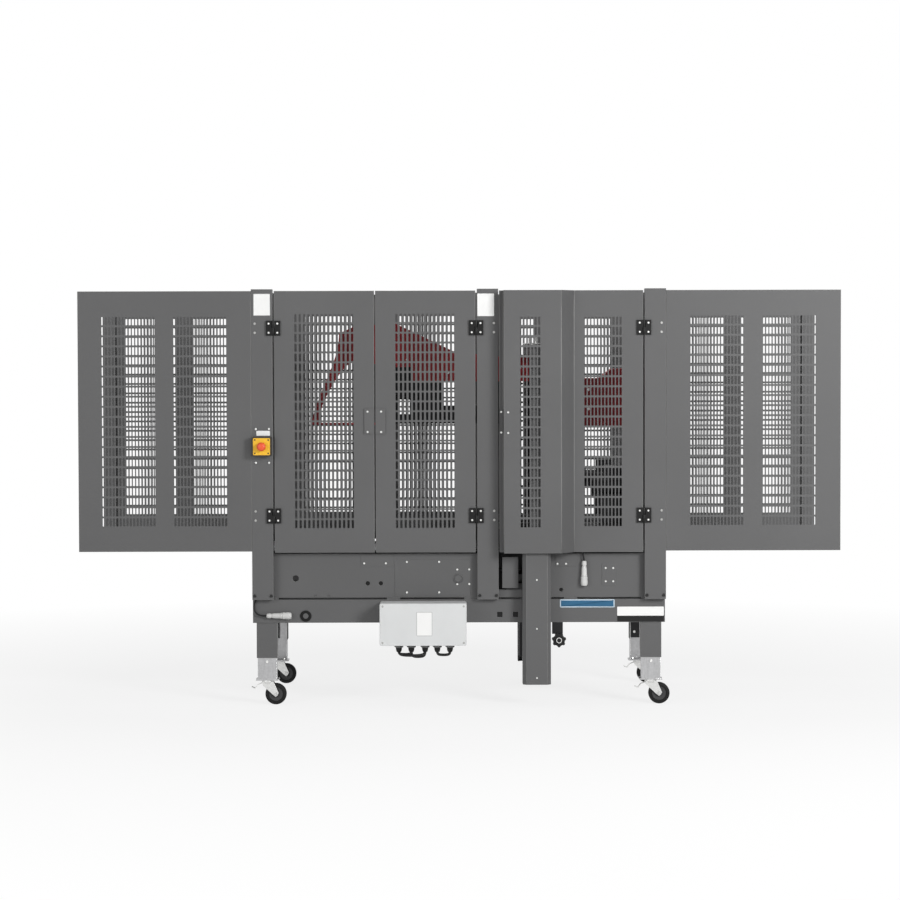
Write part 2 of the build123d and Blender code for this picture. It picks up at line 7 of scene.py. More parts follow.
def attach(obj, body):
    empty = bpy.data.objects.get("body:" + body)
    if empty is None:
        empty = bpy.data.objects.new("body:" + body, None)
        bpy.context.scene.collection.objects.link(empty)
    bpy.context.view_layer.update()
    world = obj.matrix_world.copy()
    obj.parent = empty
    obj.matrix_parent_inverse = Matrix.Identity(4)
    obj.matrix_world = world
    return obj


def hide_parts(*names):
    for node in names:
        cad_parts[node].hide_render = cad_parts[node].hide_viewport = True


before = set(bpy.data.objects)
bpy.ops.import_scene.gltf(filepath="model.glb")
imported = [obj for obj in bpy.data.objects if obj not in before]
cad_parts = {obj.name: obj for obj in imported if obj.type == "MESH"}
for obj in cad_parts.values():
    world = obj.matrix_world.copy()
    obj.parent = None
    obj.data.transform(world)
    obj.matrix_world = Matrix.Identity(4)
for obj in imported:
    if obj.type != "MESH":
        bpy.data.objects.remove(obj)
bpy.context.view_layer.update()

# Camera
# A long lens about thirteen metres away, a little above the middle of the guards and
# tipped down two degrees, so that the front of the machine is seen almost square on.
camera = bpy.data.objects.new("camera", bpy.data.cameras.new("camera"))
camera.data.sensor_width = 36
camera.data.lens = 110.85
camera.data.clip_end = 400
camera.location = (-0.0372, -12.931, 1.616)
camera.rotation_euler = (math.radians(90 - 2.117), math.radians(0.148), math.radians(0.0194))
bpy.context.scene.collection.objects.link(camera)
bpy.context.scene.camera = camera
bpy.context.scene.view_settings.view_transform = "Standard"


# Studio floor and light
# A pale floor that keeps the soft shadow of the machine, a white surround for camera and
# reflections, and large soft lamps: a key from the right, a fill from the left, one above.
def shader_node(material, kind, inputs=None, **settings):
    """Add one node to a material; an input may be a value or another node's socket."""
    node = material.node_tree.nodes.new("ShaderNode" + kind)
    for key, value in settings.items():
        setattr(node, key, value)
    for key, value in (inputs or {}).items():
        if isinstance(value, bpy.types.NodeSocket):
            material.node_tree.links.new(value, node.inputs[key])
        else:
            node.inputs[key].default_value = value
    return node


floor_mesh = bpy.data.meshes.new("floor")
floor_bm = bmesh.new()
bmesh.ops.create_grid(floor_bm, x_segments=1, y_segments=1, size=60)
floor_bm.to_mesh(floor_mesh)
floor_bm.free()
floor = bpy.data.objects.new("floor", floor_mesh)
bpy.context.scene.collection.objects.link(floor)
floor_paint = bpy.data.materials.new("pale_floor")
floor_paint.use_nodes = True
floor_shader = floor_paint.node_tree.nodes["Principled BSDF"]
floor_shader.inputs["Base Color"].default_value = (0.85, 0.85, 0.85, 1)
floor_shader.inputs["Roughness"].default_value = 0.9
floor_glow = shader_node(floor_paint, "Emission", {"Color": (1, 1, 1, 1), "Strength": 1.0})
floor_eye = shader_node(floor_paint, "LightPath")
floor_seen = shader_node(floor_paint, "Math", {0: floor_eye.outputs["Is Camera Ray"],
                                               1: floor_eye.outputs["Is Glossy Ray"]}, operation="MAXIMUM")
floor_place = shader_node(floor_paint, "TexCoord").outputs["Object"]
floor_way = shader_node(floor_paint, "VectorMath", {0: floor_place}, operation="LENGTH")
floor_fade = shader_node(floor_paint, "MapRange", {"Value": floor_way.outputs["Value"], "From Min": 1.8,
                                                   "From Max": 5.0, "To Min": 0.8, "To Max": 1.0})
floor_share = shader_node(floor_paint, "Math", {0: floor_seen.outputs[0], 1: floor_fade.outputs[0]},
                          operation="MULTIPLY")
floor_mix = shader_node(floor_paint, "MixShader", {0: floor_share.outputs[0],
                                                   1: floor_shader.outputs[0], 2: floor_glow.outputs[0]})
floor_out = floor_paint.node_tree.nodes["Material Output"]
floor_paint.node_tree.links.new(floor_mix.outputs[0], floor_out.inputs["Surface"])
floor_mesh.materials.append(floor_paint)

world = bpy.data.worlds.new("studio")
bpy.context.scene.world = world
world.use_nodes = True
sky = world.node_tree.nodes["Background"]
sky.inputs["Color"].default_value = (1, 1, 1, 1)
eye = world.node_tree.nodes.new("ShaderNodeLightPath")
seen = world.node_tree.nodes.new("ShaderNodeMath")
seen.operation = "MAXIMUM"
through = world.node_tree.nodes.new("ShaderNodeMath")
through.operation = "MAXIMUM"
level = world.node_tree.nodes.new("ShaderNodeMapRange")
level.inputs["To Min"].default_value = 0.24
level.inputs["To Max"].default_value = 1.0
world.node_tree.links.new(eye.outputs["Is Camera Ray"], seen.inputs[0])
world.node_tree.links.new(eye.outputs["Is Glossy Ray"], seen.inputs[1])
world.node_tree.links.new(seen.outputs[0], through.inputs[0])
world.node_tree.links.new(eye.outputs["Is Transmission Ray"], through.inputs[1])
world.node_tree.links.new(through.outputs[0], level.inputs["Value"])
world.node_tree.links.new(level.outputs[0], sky.inputs["Strength"])

for lamp_name, lamp_place, lamp_size, lamp_power in (("key", (4.2, -6.0, 3.2), 2.4, 350),
                                                     ("fill", (-5.0, -6.5, 2.2), 4.0, 150),
                                                     ("top", (0.0, 0.5, 5.5), 4.5, 50)):
    lamp = bpy.data.objects.new(lamp_name, bpy.data.lights.new(lamp_name, "AREA"))
    lamp.data.shape = "DISK"
    lamp.data.size = lamp_size
    lamp.data.energy = lamp_power
    lamp.location = lamp_place
    lamp.rotation_euler = (Vector((0, 0, 0.9)) - Vector(lamp_place)).to_track_quat("-Z", "Y").to_euler()
    bpy.context.scene.collection.objects.link(lamp)


# End wings of the guard
# Two millimetre steel sheets, punched with rows of upright slots, folded along their edges
# and painted with baked grey powder. They are bolted to the posts at each end of the machine.
def powder_coat(name, colour, roughness=0.5, drift=0.05, pebble=0.1):
    """Baked powder paint: slight drifts of shade, a fine pebbled skin and a little dust."""
    coat = bpy.data.materials.new(name)
    coat.use_nodes = True
    shader = coat.node_tree.nodes["Principled BSDF"]
    place = shader_node(coat, "TexCoord").outputs["Object"]
    cloud = shader_node(coat, "TexNoise", {"Vector": place, "Scale": 2.1, "Detail": 4.0, "Roughness": 0.55})
    speck = shader_node(coat, "TexNoise", {"Vector": place, "Scale": 420.0, "Detail": 2.0})
    tone = shader_node(coat, "ValToRGB", {"Fac": cloud.outputs["Fac"]})
    tone.color_ramp.elements[0].position = 0.3
    tone.color_ramp.elements[1].position = 0.7
    tone.color_ramp.elements[0].color = [c * (1 - drift) for c in colour] + [1]
    tone.color_ramp.elements[1].color = [c * (1 + drift) for c in colour] + [1]
    flecks = shader_node(coat, "ValToRGB", {"Fac": speck.outputs["Fac"]})
    flecks.color_ramp.elements[0].position = 0.35
    flecks.color_ramp.elements[1].position = 0.75
    flecks.color_ramp.elements[0].color = (0.94, 0.94, 0.94, 1)
    flecks.color_ramp.elements[1].color = (1, 1, 1, 1)
    blend = shader_node(coat, "Mix", {6: tone.outputs["Color"], 7: flecks.outputs["Color"], 0: 1.0},
                        data_type="RGBA", blend_type="MULTIPLY")
    coat.node_tree.links.new(blend.outputs[2], shader.inputs["Base Color"])
    rub = shader_node(coat, "MapRange", {"Value": cloud.outputs["Fac"], "To Min": roughness - 0.06,
                                         "To Max": roughness + 0.08})
    coat.node_tree.links.new(rub.outputs[0], shader.inputs["Roughness"])
    skin = shader_node(coat, "Bump", {"Height": speck.outputs["Fac"], "Strength": pebble, "Distance": 0.0004})
    coat.node_tree.links.new(skin.outputs[0], shader.inputs["Normal"])
    shader.inputs["Specular IOR Level"].default_value = 0.42
    return coat


def make_piece(name, bm, *finishes):
    """Turn a bmesh into a named object with its finishes."""
    mesh = bpy.data.meshes.new(name)
    bm.to_mesh(mesh)
    bm.free()
    for finish in finishes:
        mesh.materials.append(finish)
    piece = bpy.data.objects.new(name, mesh)
    bpy.context.scene.collection.objects.link(piece)
    return piece


def reach(bm, axis, start, end):
    """Carry the open edge at one place along an axis on to another place."""
    near = [e for e in bm.edges if e.is_boundary and all(abs(v.co[axis] - start) < 1e-5 for v in e.verts)]
    made = bmesh.ops.extrude_edge_only(bm, edges=near)["geom"]
    for vert in (g for g in made if isinstance(g, bmesh.types.BMVert)):
        vert.co[axis] = end


def punched_skin(fields, low, rows, row_pitch, slot, corner=0.003):
    """A flat skin in X and Z with one cell of faces around each slot."""
    bm = bmesh.new()
    for first, count, pitch in fields:
        hole = bmesh.ops.create_circle(bm, segments=12, radius=corner)["verts"]
        bmesh.ops.rotate(bm, verts=hole, matrix=Matrix.Rotation(math.radians(15), 3, "Z"))
        bmesh.ops.rotate(bm, verts=hole, matrix=Matrix.Rotation(math.radians(90), 3, "X"))
        turn = {v: (v.co.x, v.co.z) for v in hole}
        for vert, (x, z) in turn.items():
            vert.co.x = x + math.copysign(slot[0] / 2 - corner, x)
            vert.co.z = z + math.copysign(slot[1] / 2 - corner, z)
        edges = {e for v in hole for e in v.link_edges}
        made = bmesh.ops.extrude_edge_only(bm, edges=list(edges))["geom"]
        for vert in (g for g in made if isinstance(g, bmesh.types.BMVert)):
            across = abs(vert.co.x) - (slot[0] / 2 - corner)
            up = abs(vert.co.z) - (slot[1] / 2 - corner)
            if across > up - 1e-6:
                vert.co.x = math.copysign(pitch / 2, vert.co.x)
            if up > across - 1e-6:
                vert.co.z = math.copysign(row_pitch / 2, vert.co.z)
        cell = list(set(hole) | {g for g in made if isinstance(g, bmesh.types.BMVert)})
        bmesh.ops.translate(bm, verts=cell, vec=(first, 0, low + row_pitch / 2))
        cell += list({e for v in cell for e in v.link_edges} | {f for v in cell for f in v.link_faces})
        row = list(cell)
        for i in range(1, count):
            copy = bmesh.ops.duplicate(bm, geom=cell)["geom"]
            bmesh.ops.translate(bm, verts=[g for g in copy if isinstance(g, bmesh.types.BMVert)],
                                vec=(i * pitch, 0, 0))
            row += copy
        for i in range(1, rows):
            copy = bmesh.ops.duplicate(bm, geom=row)["geom"]
            bmesh.ops.translate(bm, verts=[g for g in copy if isinstance(g, bmesh.types.BMVert)],
                                vec=(0, 0, i * row_pitch))
    bmesh.ops.remove_doubles(bm, verts=bm.verts, dist=2e-5)
    return bm


def fold_line(bm, axis, place, face):
    """The edges of a skin that lie on one line of its flat face."""
    return [e for e in bm.edges
            if all(abs(v.co[axis] - place) < 1e-5 and abs(v.co.y - face) < 1e-5 for v in e.verts)]


def turn_back(bm, axis, place, face, depth):
    """Fold a flange inwards along one edge of the skin."""
    edges = [e for e in fold_line(bm, axis, place, face) if e.is_boundary]
    made = bmesh.ops.extrude_edge_only(bm, edges=edges)["geom"]
    verts = [g for g in made if isinstance(g, bmesh.types.BMVert)]
    bmesh.ops.translate(bm, verts=verts, vec=(0, depth, 0))
    return verts


def give_thickness(bm, bends, sheet, front):
    """Round the bends, point the skin outwards and give it its wall."""
    round_faces = set(bmesh.ops.bevel(bm, geom=bends, offset=0.0025, offset_type="OFFSET", segments=2,
                                      profile=0.5, affect="EDGES", material=-1,
                                      clamp_overlap=True)["faces"])
    bmesh.ops.recalc_face_normals(bm, faces=bm.faces)
    big = max(bm.faces, key=lambda f: f.calc_area() * abs(f.normal.y))
    if big.normal.y * front < 0:
        bmesh.ops.reverse_faces(bm, faces=bm.faces)
    # Rounded bends take the second finish, the lighter edge tone of wear and painted highlight.
    for face in bm.faces:
        face.smooth = face in round_faces
        face.material_index = int(face.smooth)
    bmesh.ops.solidify(bm, geom=bm.faces[:], thickness=sheet)


guard_grey = powder_coat("grey_powder_coat", (0.100, 0.100, 0.101))
# The lighter grey goes on rounded edges and bends: partly paint worn thin there, partly a painted highlight where
# the edges catch the light.
wear_and_highlight_grey = powder_coat("wear_and_highlight_grey_edges", (0.150, 0.150, 0.148), 0.42, 0.22, 0.05)
guard_face = 0.465
guard_sheet = 0.002
guard_fold = 0.02
guard_top = 1.872
wing_low = 0.699
wing_pitch = 0.0152
wing_slot = (0.0105, 0.037)
wing_row_pitch = 0.0453
wing_rows = 21
wing_field_low = 0.814 - (wing_row_pitch - wing_slot[1]) / 2
wing_ends = {"infeed": (-1.716, -0.936, (-1.603, -1.280)), "exit": (1.716, 0.930, (1.369, 1.045))}
for end, (outer, inner, firsts) in wing_ends.items():
    for place, front in (("front", -1), ("rear", 1)):
        columns = 16
        bm = punched_skin([(first, columns, wing_pitch) for first in sorted(firsts)], wing_field_low,
                          wing_rows, wing_row_pitch, wing_slot)
        top = wing_field_low + wing_rows * wing_row_pitch
        reach(bm, 2, wing_field_low, wing_low)
        reach(bm, 2, top, guard_top)
        edges_of = [x for first in sorted(firsts)
                    for x in (first - wing_pitch / 2, first + (columns - 0.5) * wing_pitch)]
        left, right = sorted((outer, inner))
        reach(bm, 0, edges_of[0], left)
        reach(bm, 0, edges_of[1], edges_of[2])
        reach(bm, 0, edges_of[3], right)
        bmesh.ops.remove_doubles(bm, verts=bm.verts, dist=2e-5)
        bmesh.ops.translate(bm, verts=bm.verts, vec=(0, front * guard_face, 0))
        face = front * guard_face
        bends = []
        for place_z in (wing_low, guard_top):
            turn_back(bm, 2, place_z, face, -front * guard_fold)
        turn_back(bm, 0, inner, face, -front * guard_fold)
        lip = turn_back(bm, 0, outer, face, -front * 0.03)
        lip_edges = [e for e in bm.edges if e.is_boundary and all(v in lip for v in e.verts)
                     and abs(e.verts[0].co.z - e.verts[1].co.z) > 1e-5]
        made = bmesh.ops.extrude_edge_only(bm, edges=lip_edges)["geom"]
        inward = math.copysign(0.055, inner - outer)
        bmesh.ops.translate(bm, verts=[g for g in made if isinstance(g, bmesh.types.BMVert)],
                            vec=(inward, 0, 0))
        bends = [e for axis, at in ((2, wing_low), (2, guard_top), (0, outer), (0, inner))
                 for e in fold_line(bm, axis, at, face)]
        bends += lip_edges
        give_thickness(bm, bends, guard_sheet, front)
        wing = make_piece(f"punched_wing_{end}_{place}", bm, guard_grey, wear_and_highlight_grey)
        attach(wing, "frame")
        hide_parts(f"wing_{end}_{place}")

# Guard doors
# Three punched and folded sheets on each side, in the same grey powder coat. The exit door
# is bent outwards in front of the lift column, and every door turns on two hinges.
door_low = 0.693
door_pitch = 0.0196
door_row_pitch = 0.04415
door_rows = 22
door_field_low = 0.804 - (door_row_pitch - wing_slot[1]) / 2
door_spans = {"infeed": (-0.833, -0.38275, -0.736), "middle": (-0.37775, 0.0725, -0.282)}
for place, front in (("front", -1), ("rear", 1)):
    for door, (left, right, first) in door_spans.items():
        columns = 14
        bm = punched_skin([(first, columns, door_pitch)], door_field_low, door_rows, door_row_pitch, wing_slot)
        reach(bm, 2, door_field_low, door_low)
        reach(bm, 2, door_field_low + door_rows * door_row_pitch, guard_top)
        reach(bm, 0, first - door_pitch / 2, left)
        reach(bm, 0, first + (columns - 0.5) * door_pitch, right)
        bmesh.ops.translate(bm, verts=bm.verts, vec=(0, front * guard_face, 0))
        face = front * guard_face
        outline = ((2, door_low), (2, guard_top), (0, left), (0, right))
        for axis, at in outline:
            turn_back(bm, axis, at, face, -front * guard_fold)
        bends = [e for axis, at in outline for e in fold_line(bm, axis, at, face)]
        give_thickness(bm, bends, guard_sheet, front)
        leaf = make_piece(f"punched_door_{door}_{place}", bm, guard_grey, wear_and_highlight_grey)
        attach(leaf, f"door_{door}_{place}_body")
        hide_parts(f"door_{door}_{place}")

    bulge_pitch = 0.0158
    flange_x, side_x, slope_x, foot_x, far_x = 0.1795, 0.198, 0.457, 0.516, 0.827
    bulge_first, flat_first = 0.2783, 0.5675
    bulge_out = 0.075
    bulge_low = 0.810 - (wing_row_pitch - wing_slot[1]) / 2
    bm = punched_skin([(bulge_first, 6, bulge_pitch), (flat_first, 11, bulge_pitch)], bulge_low, wing_rows,
                      wing_row_pitch, wing_slot)
    reach(bm, 2, bulge_low, door_low)
    reach(bm, 2, bulge_low + wing_rows * wing_row_pitch, guard_top)
    reach(bm, 0, bulge_first - bulge_pitch / 2, side_x)
    reach(bm, 0, bulge_first + 5.5 * bulge_pitch, slope_x)
    reach(bm, 0, slope_x, foot_x)
    reach(bm, 0, foot_x, flat_first - bulge_pitch / 2)
    reach(bm, 0, flat_first + 10.5 * bulge_pitch, far_x)
    bmesh.ops.remove_doubles(bm, verts=bm.verts, dist=2e-5)
    for vert in bm.verts:
        raised = bulge_out if vert.co.x < slope_x + 1e-5 else 0.0
        vert.co.y = front * (guard_face + raised)
    side = turn_back(bm, 0, side_x, front * (guard_face + bulge_out), -front * bulge_out)
    side_edges = [e for e in bm.edges if e.is_boundary and all(v in side for v in e.verts)
                  and abs(e.verts[0].co.z - e.verts[1].co.z) > 1e-5]
    made = bmesh.ops.extrude_edge_only(bm, edges=side_edges)["geom"]
    flange = [g for g in made if isinstance(g, bmesh.types.BMVert)]
    for vert in flange:
        vert.co.x = flange_x
    face = front * guard_face
    turn_back(bm, 0, flange_x, face, -front * guard_fold)
    turn_back(bm, 0, far_x, face, -front * guard_fold)
    for at in (door_low, guard_top):
        edges = [e for e in fold_line(bm, 2, at, face) if e.is_boundary
                 and min(v.co.x for v in e.verts) > foot_x - 1e-5]
        made = bmesh.ops.extrude_edge_only(bm, edges=edges)["geom"]
        bmesh.ops.translate(bm, verts=[g for g in made if isinstance(g, bmesh.types.BMVert)],
                            vec=(0, -front * guard_fold, 0))
    high = front * (guard_face + bulge_out)
    bends = fold_line(bm, 0, side_x, high) + fold_line(bm, 0, slope_x, high) + side_edges
    bends += [e for at in (flange_x, foot_x, far_x) for e in fold_line(bm, 0, at, face)]
    bends += [e for at in (door_low, guard_top) for e in fold_line(bm, 2, at, face)
              if min(v.co.x for v in e.verts) > foot_x - 1e-5]
    bends = [e for e in set(bends) if len(e.link_faces) == 2]
    give_thickness(bm, bends, guard_sheet, front)
    leaf = make_piece(f"punched_door_exit_{place}", bm, guard_grey, wear_and_highlight_grey)
    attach(leaf, f"door_exit_{place}_body")
    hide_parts(f"door_exit_{place}")

# Guard posts
# Lipped channels of three millimetre sheet in the same grey, screwed to the side beams at
# their feet with black bolts and to the guards with bright ones.
def softened(node, width, sharp=35):
    """A CAD node's shape, its loose triangles joined and its edges rounded in a second finish, mostly a lighter edge
    tone of wear and painted highlight.
    """
    bm = bmesh.new()
    bm.from_mesh(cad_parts[node].data)
    bmesh.ops.remove_doubles(bm, verts=bm.verts, dist=1e-5)
    bmesh.ops.dissolve_limit(bm, angle_limit=math.radians(1), verts=bm.verts, edges=bm.edges)
    curved = bm.faces.layers.int.new("curved")
    limit = math.radians(sharp)
    for face in bm.faces:
        face[curved] = any(math.radians(2) < e.calc_face_angle(0) < limit for e in face.edges)
    hard = [e for e in bm.edges if e.calc_face_angle(0) >= limit]
    made = bmesh.ops.bevel(bm, geom=hard, offset=width, offset_type="OFFSET", segments=2, profile=0.5,
                           affect="EDGES", material=-1, clamp_overlap=True)["faces"]
    for face in bm.faces:
        face.smooth = bool(face[curved])
    # The rounded edges take finish 1, which carries the painted edge highlight.
    for face in made:
        face.smooth = True
        face.material_index = 1
    return bm


def aimed(outward):
    """The turn that points local up along a direction."""
    return Vector((0, 0, 1)).rotation_difference(Vector(outward)).to_matrix().to_4x4()


def screw_heads(places, radius, height, socket=0.5):
    """Low round heads with a driving socket, each given by its place and its outward direction."""
    bm = bmesh.new()
    head = bmesh.ops.create_cone(bm, cap_ends=True, segments=12, radius1=radius, radius2=radius * 0.84,
                                 depth=height)["verts"]
    bmesh.ops.translate(bm, verts=head, vec=(0, 0, height / 2))
    top = max(bm.faces, key=lambda f: f.calc_center_median().z)
    bmesh.ops.inset_individual(bm, faces=[top], thickness=radius * (0.84 - socket))
    bmesh.ops.inset_individual(bm, faces=[top], thickness=radius * 0.06, depth=-height * 0.5)
    master = bm.verts[:] + bm.edges[:] + bm.faces[:]
    for centre, outward in places:
        copy = bmesh.ops.duplicate(bm, geom=master)["geom"]
        verts = [g for g in copy if isinstance(g, bmesh.types.BMVert)]
        bmesh.ops.transform(bm, matrix=Matrix.Translation(centre) @ aimed(outward), verts=verts)
    bmesh.ops.delete(bm, geom=master, context="VERTS")
    return bm


def bright_steel(name, colour, roughness, streaks=(40, 40, 40), spread=0.12, metallic=0.92):
    """Zinc plated or turned steel: soft blotches and fine streaks in one direction."""
    metal = bpy.data.materials.new(name)
    metal.use_nodes = True
    shader = metal.node_tree.nodes["Principled BSDF"]
    shader.inputs["Metallic"].default_value = metallic
    place = shader_node(metal, "TexCoord").outputs["Object"]
    stretch = shader_node(metal, "Mapping", {"Vector": place, "Scale": streaks})
    lines = shader_node(metal, "TexNoise", {"Vector": stretch.outputs[0], "Scale": 6.0, "Detail": 5.0})
    blotch = shader_node(metal, "TexVoronoi", {"Vector": place, "Scale": 95.0})
    both = shader_node(metal, "Mix", {0: 0.25, 2: lines.outputs["Fac"], 3: blotch.outputs["Distance"]})
    tone = shader_node(metal, "ValToRGB", {"Fac": both.outputs[0]})
    tone.color_ramp.elements[0].position = 0.3
    tone.color_ramp.elements[1].position = 0.68
    tone.color_ramp.elements[0].color = [c * (1 - spread) for c in colour] + [1]
    tone.color_ramp.elements[1].color = [min(1, c * (1 + spread)) for c in colour] + [1]
    metal.node_tree.links.new(tone.outputs["Color"], shader.inputs["Base Color"])
    rub = shader_node(metal, "MapRange", {"Value": lines.outputs["Fac"], "To Min": roughness - 0.08,
                                          "To Max": roughness + 0.12})
    metal.node_tree.links.new(rub.outputs[0], shader.inputs["Roughness"])
    skin = shader_node(metal, "Bump", {"Height": lines.outputs["Fac"], "Strength": 0.12, "Distance": 0.0003})
    metal.node_tree.links.new(skin.outputs[0], shader.inputs["Normal"])
    return metal


screw_steel = bright_steel("bright_screw_steel", (0.82, 0.82, 0.80), 0.28)
black_screw = powder_coat("black_screw_steel", (0.012, 0.012, 0.012), 0.4, 0.1, 0.05)
for place in ("front", "rear"):
    posts = make_piece(f"guard_posts_{place}", softened(f"{place}_posts", 0.0016), guard_grey, wear_and_highlight_grey)
    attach(posts, "frame")
    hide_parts(f"{place}_posts")
post_screws = [((x, side * guard_face, z + up), (0, side, 0)) for side in (-1, 1)
               for x in (-0.919, 0.156, 0.910) for z in (1.705, 0.860) for up in (-0.0205, 0.0205)]
dull_steel = bright_steel("dull_screw_steel", (0.40, 0.40, 0.39), 0.42)
screws = make_piece("post_screws", screw_heads(post_screws, 0.006, 0.003), dull_steel)
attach(screws, "frame")
foot_bolts = [((x + across, side * guard_face, 0.498), (0, side, 0)) for side in (-1, 1)
              for x in (-0.888, 0.1275, 0.882) for across in (-0.0375, 0.0375)]
bolts = make_piece("post_foot_bolts", screw_heads(foot_bolts, 0.0075, 0.005, 0.45), black_screw)
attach(bolts, "frame")

# Hinges and latch plates
# Black moulded hinges, each with two leaves and four bright screws, and grey latch plates
# bolted across the meeting edges of the doors.
def moulded(name, colour, roughness=0.45, grain=900.0, depth=0.08, drift=0.06, shine=0.4):
    """Moulded plastic or rubber: a fine spark grain with slight drifts of shade."""
    plastic = bpy.data.materials.new(name)
    plastic.use_nodes = True
    shader = plastic.node_tree.nodes["Principled BSDF"]
    place = shader_node(plastic, "TexCoord").outputs["Object"]
    cloud = shader_node(plastic, "TexNoise", {"Vector": place, "Scale": 9.0, "Detail": 4.0})
    fine = shader_node(plastic, "TexNoise", {"Vector": place, "Scale": grain, "Detail": 1.0})
    tone = shader_node(plastic, "ValToRGB", {"Fac": cloud.outputs["Fac"]})
    tone.color_ramp.elements[0].position = 0.3
    tone.color_ramp.elements[1].position = 0.7
    tone.color_ramp.elements[0].color = [c * (1 - drift) for c in colour] + [1]
    tone.color_ramp.elements[1].color = [min(1, c * (1 + drift)) for c in colour] + [1]
    plastic.node_tree.links.new(tone.outputs["Color"], shader.inputs["Base Color"])
    rub = shader_node(plastic, "MapRange", {"Value": cloud.outputs["Fac"], "To Min": roughness - 0.06,
                                            "To Max": roughness + 0.1})
    plastic.node_tree.links.new(rub.outputs[0], shader.inputs["Roughness"])
    skin = shader_node(plastic, "Bump", {"Height": fine.outputs["Fac"], "Strength": depth, "Distance": 0.0004})
    plastic.node_tree.links.new(skin.outputs[0], shader.inputs["Normal"])
    shader.inputs["Specular IOR Level"].default_value = shine
    return plastic


hinge_black = moulded("black_hinge_moulding", (0.006, 0.006, 0.006), 0.42, shine=0.22)
# Lighter black on the rounded edges of hinges and knob: partly rubbed plastic, partly a painted highlight where the
# edges catch the light.
rub_and_highlight_black = moulded("rub_and_highlight_black_edges", (0.030, 0.030, 0.030), 0.38, drift=0.3, shine=0.3)
leaves = make_piece("post_side_hinge_leaves", softened("post_hinge_leaves", 0.0009, 50), hinge_black,
                    rub_and_highlight_black)
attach(leaves, "frame")
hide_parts("post_hinge_leaves")
hinge_axes = {"infeed": (-0.8365, 1), "middle": (0.076, -1), "exit": (0.8305, -1)}
hinge_levels = (0.860, 1.705)
hinge_front = 0.473
fixed_screws = []
for door, (axis_x, way) in hinge_axes.items():
    for place, side in (("front", -1), ("rear", 1)):
        bm = softened(f"door_fittings_{door}_{place}", 0.0009, 50)
        for face in bm.faces:
            face.material_index += 2 if 1.22 < face.calc_center_median().z < 1.35 else 0
        fitting = make_piece(f"door_side_fittings_{door}_{place}", bm, hinge_black, rub_and_highlight_black, guard_grey,
                             wear_and_highlight_grey)
        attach(fitting, f"door_{door}_{place}_body")
        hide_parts(f"door_fittings_{door}_{place}")
        moving = []
        for level in hinge_levels:
            for up in (-0.0205, 0.0205):
                moving.append(((axis_x + way * 0.0195, side * hinge_front, level + up), (0, side, 0)))
                fixed_screws.append(((axis_x - way * 0.0195, side * hinge_front, level + up), (0, side, 0)))
        latch_x = {"infeed": (-0.413,), "middle": (-0.352,), "exit": (0.188, 0.218)}[door]
        for x in latch_x if place == "front" else latch_x[:1]:
            out = guard_face + (bulge_out if x == 0.218 else 0.006)
            for z in ((1.2375, 1.329) if door != "exit" else (1.2335, 1.326)):
                moving.append(((x, side * out, z), (0, side, 0)))
        heads = make_piece(f"door_screws_{door}_{place}", screw_heads(moving, 0.005, 0.0026), screw_steel)
        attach(heads, f"door_{door}_{place}_body")
heads = make_piece("hinge_leaf_screws", screw_heads(fixed_screws, 0.005, 0.0026), screw_steel)
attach(heads, "frame")

# Base frame and bed panels
# Folded steel channels, bed side panels and cover plates in the guard grey, with bright
# screws, a black grommet in the side beam, and black squares in two square holes as painted shade.
base_nodes = {"side_beams": 0.0018, "bed_side_panels": 0.0014, "bed_cover_plates": 0.0007}
for node, width in base_nodes.items():
    piece = make_piece(f"{node}_painted", softened(node, width), guard_grey, wear_and_highlight_grey)
    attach(piece, "frame")
    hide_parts(node)
for node in ("cross_members", "bed_cross_bars", "roller_rails"):
    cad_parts[node].data.materials.clear()
    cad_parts[node].data.materials.append(guard_grey)
panel_face = 0.427
panel_screws = [(-0.432, 0.642), (-0.334, 0.642), (-0.239, 0.648), (-0.093, 0.648), (-0.239, 0.510),
                (-0.093, 0.510), (-0.011, 0.613), (0.043, 0.613), (-0.011, 0.547), (0.043, 0.547),
                (0.442, 0.638), (0.481, 0.638), (0.660, 0.618), (0.694, 0.618), (0.660, 0.558),
                (0.694, 0.558)]
heads = make_piece("bed_panel_screws", screw_heads(
    [((x, side * panel_face, z), (0, side, 0)) for side in (-1, 1) for x, z in panel_screws], 0.0048, 0.003),
    screw_steel)
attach(heads, "frame")
painted = make_piece("painted_panel_screws", screw_heads(
    [((x, side * 0.425, 0.4955), (0, side, 0)) for side in (-1, 1) for x in (-0.652, -0.593)], 0.005, 0.003),
    guard_grey)
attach(painted, "frame")


def turned(profile, centre, axis, steps=32, sharp=35):
    """A body turned from points given as distance along the axis and radius."""
    bm = bmesh.new()
    axis = Vector(axis).normalized()
    side = axis.orthogonal().normalized()
    verts = [bm.verts.new(Vector(centre) + axis * along + side * radius) for along, radius in profile]
    edges = [bm.edges.new(pair) for pair in zip(verts, verts[1:])]
    bmesh.ops.spin(bm, geom=verts + edges, cent=centre, axis=axis, angle=math.tau, steps=steps,
                   use_merge=True)
    bmesh.ops.remove_doubles(bm, verts=bm.verts, dist=1e-6)
    bmesh.ops.recalc_face_normals(bm, faces=bm.faces)
    for face in bm.faces:
        face.smooth = True
    for edge in bm.edges:
        edge.smooth = edge.calc_face_angle(0) < math.radians(sharp)
    return bm


def joined(bm, other, finish=0):
    """Add one bmesh to another with a finish of its own."""
    for face in other.faces:
        face.material_index = finish
    passing = bpy.data.meshes.new("passing")
    other.to_mesh(passing)
    other.free()
    bm.from_mesh(passing)
    bpy.data.meshes.remove(passing)
    return bm


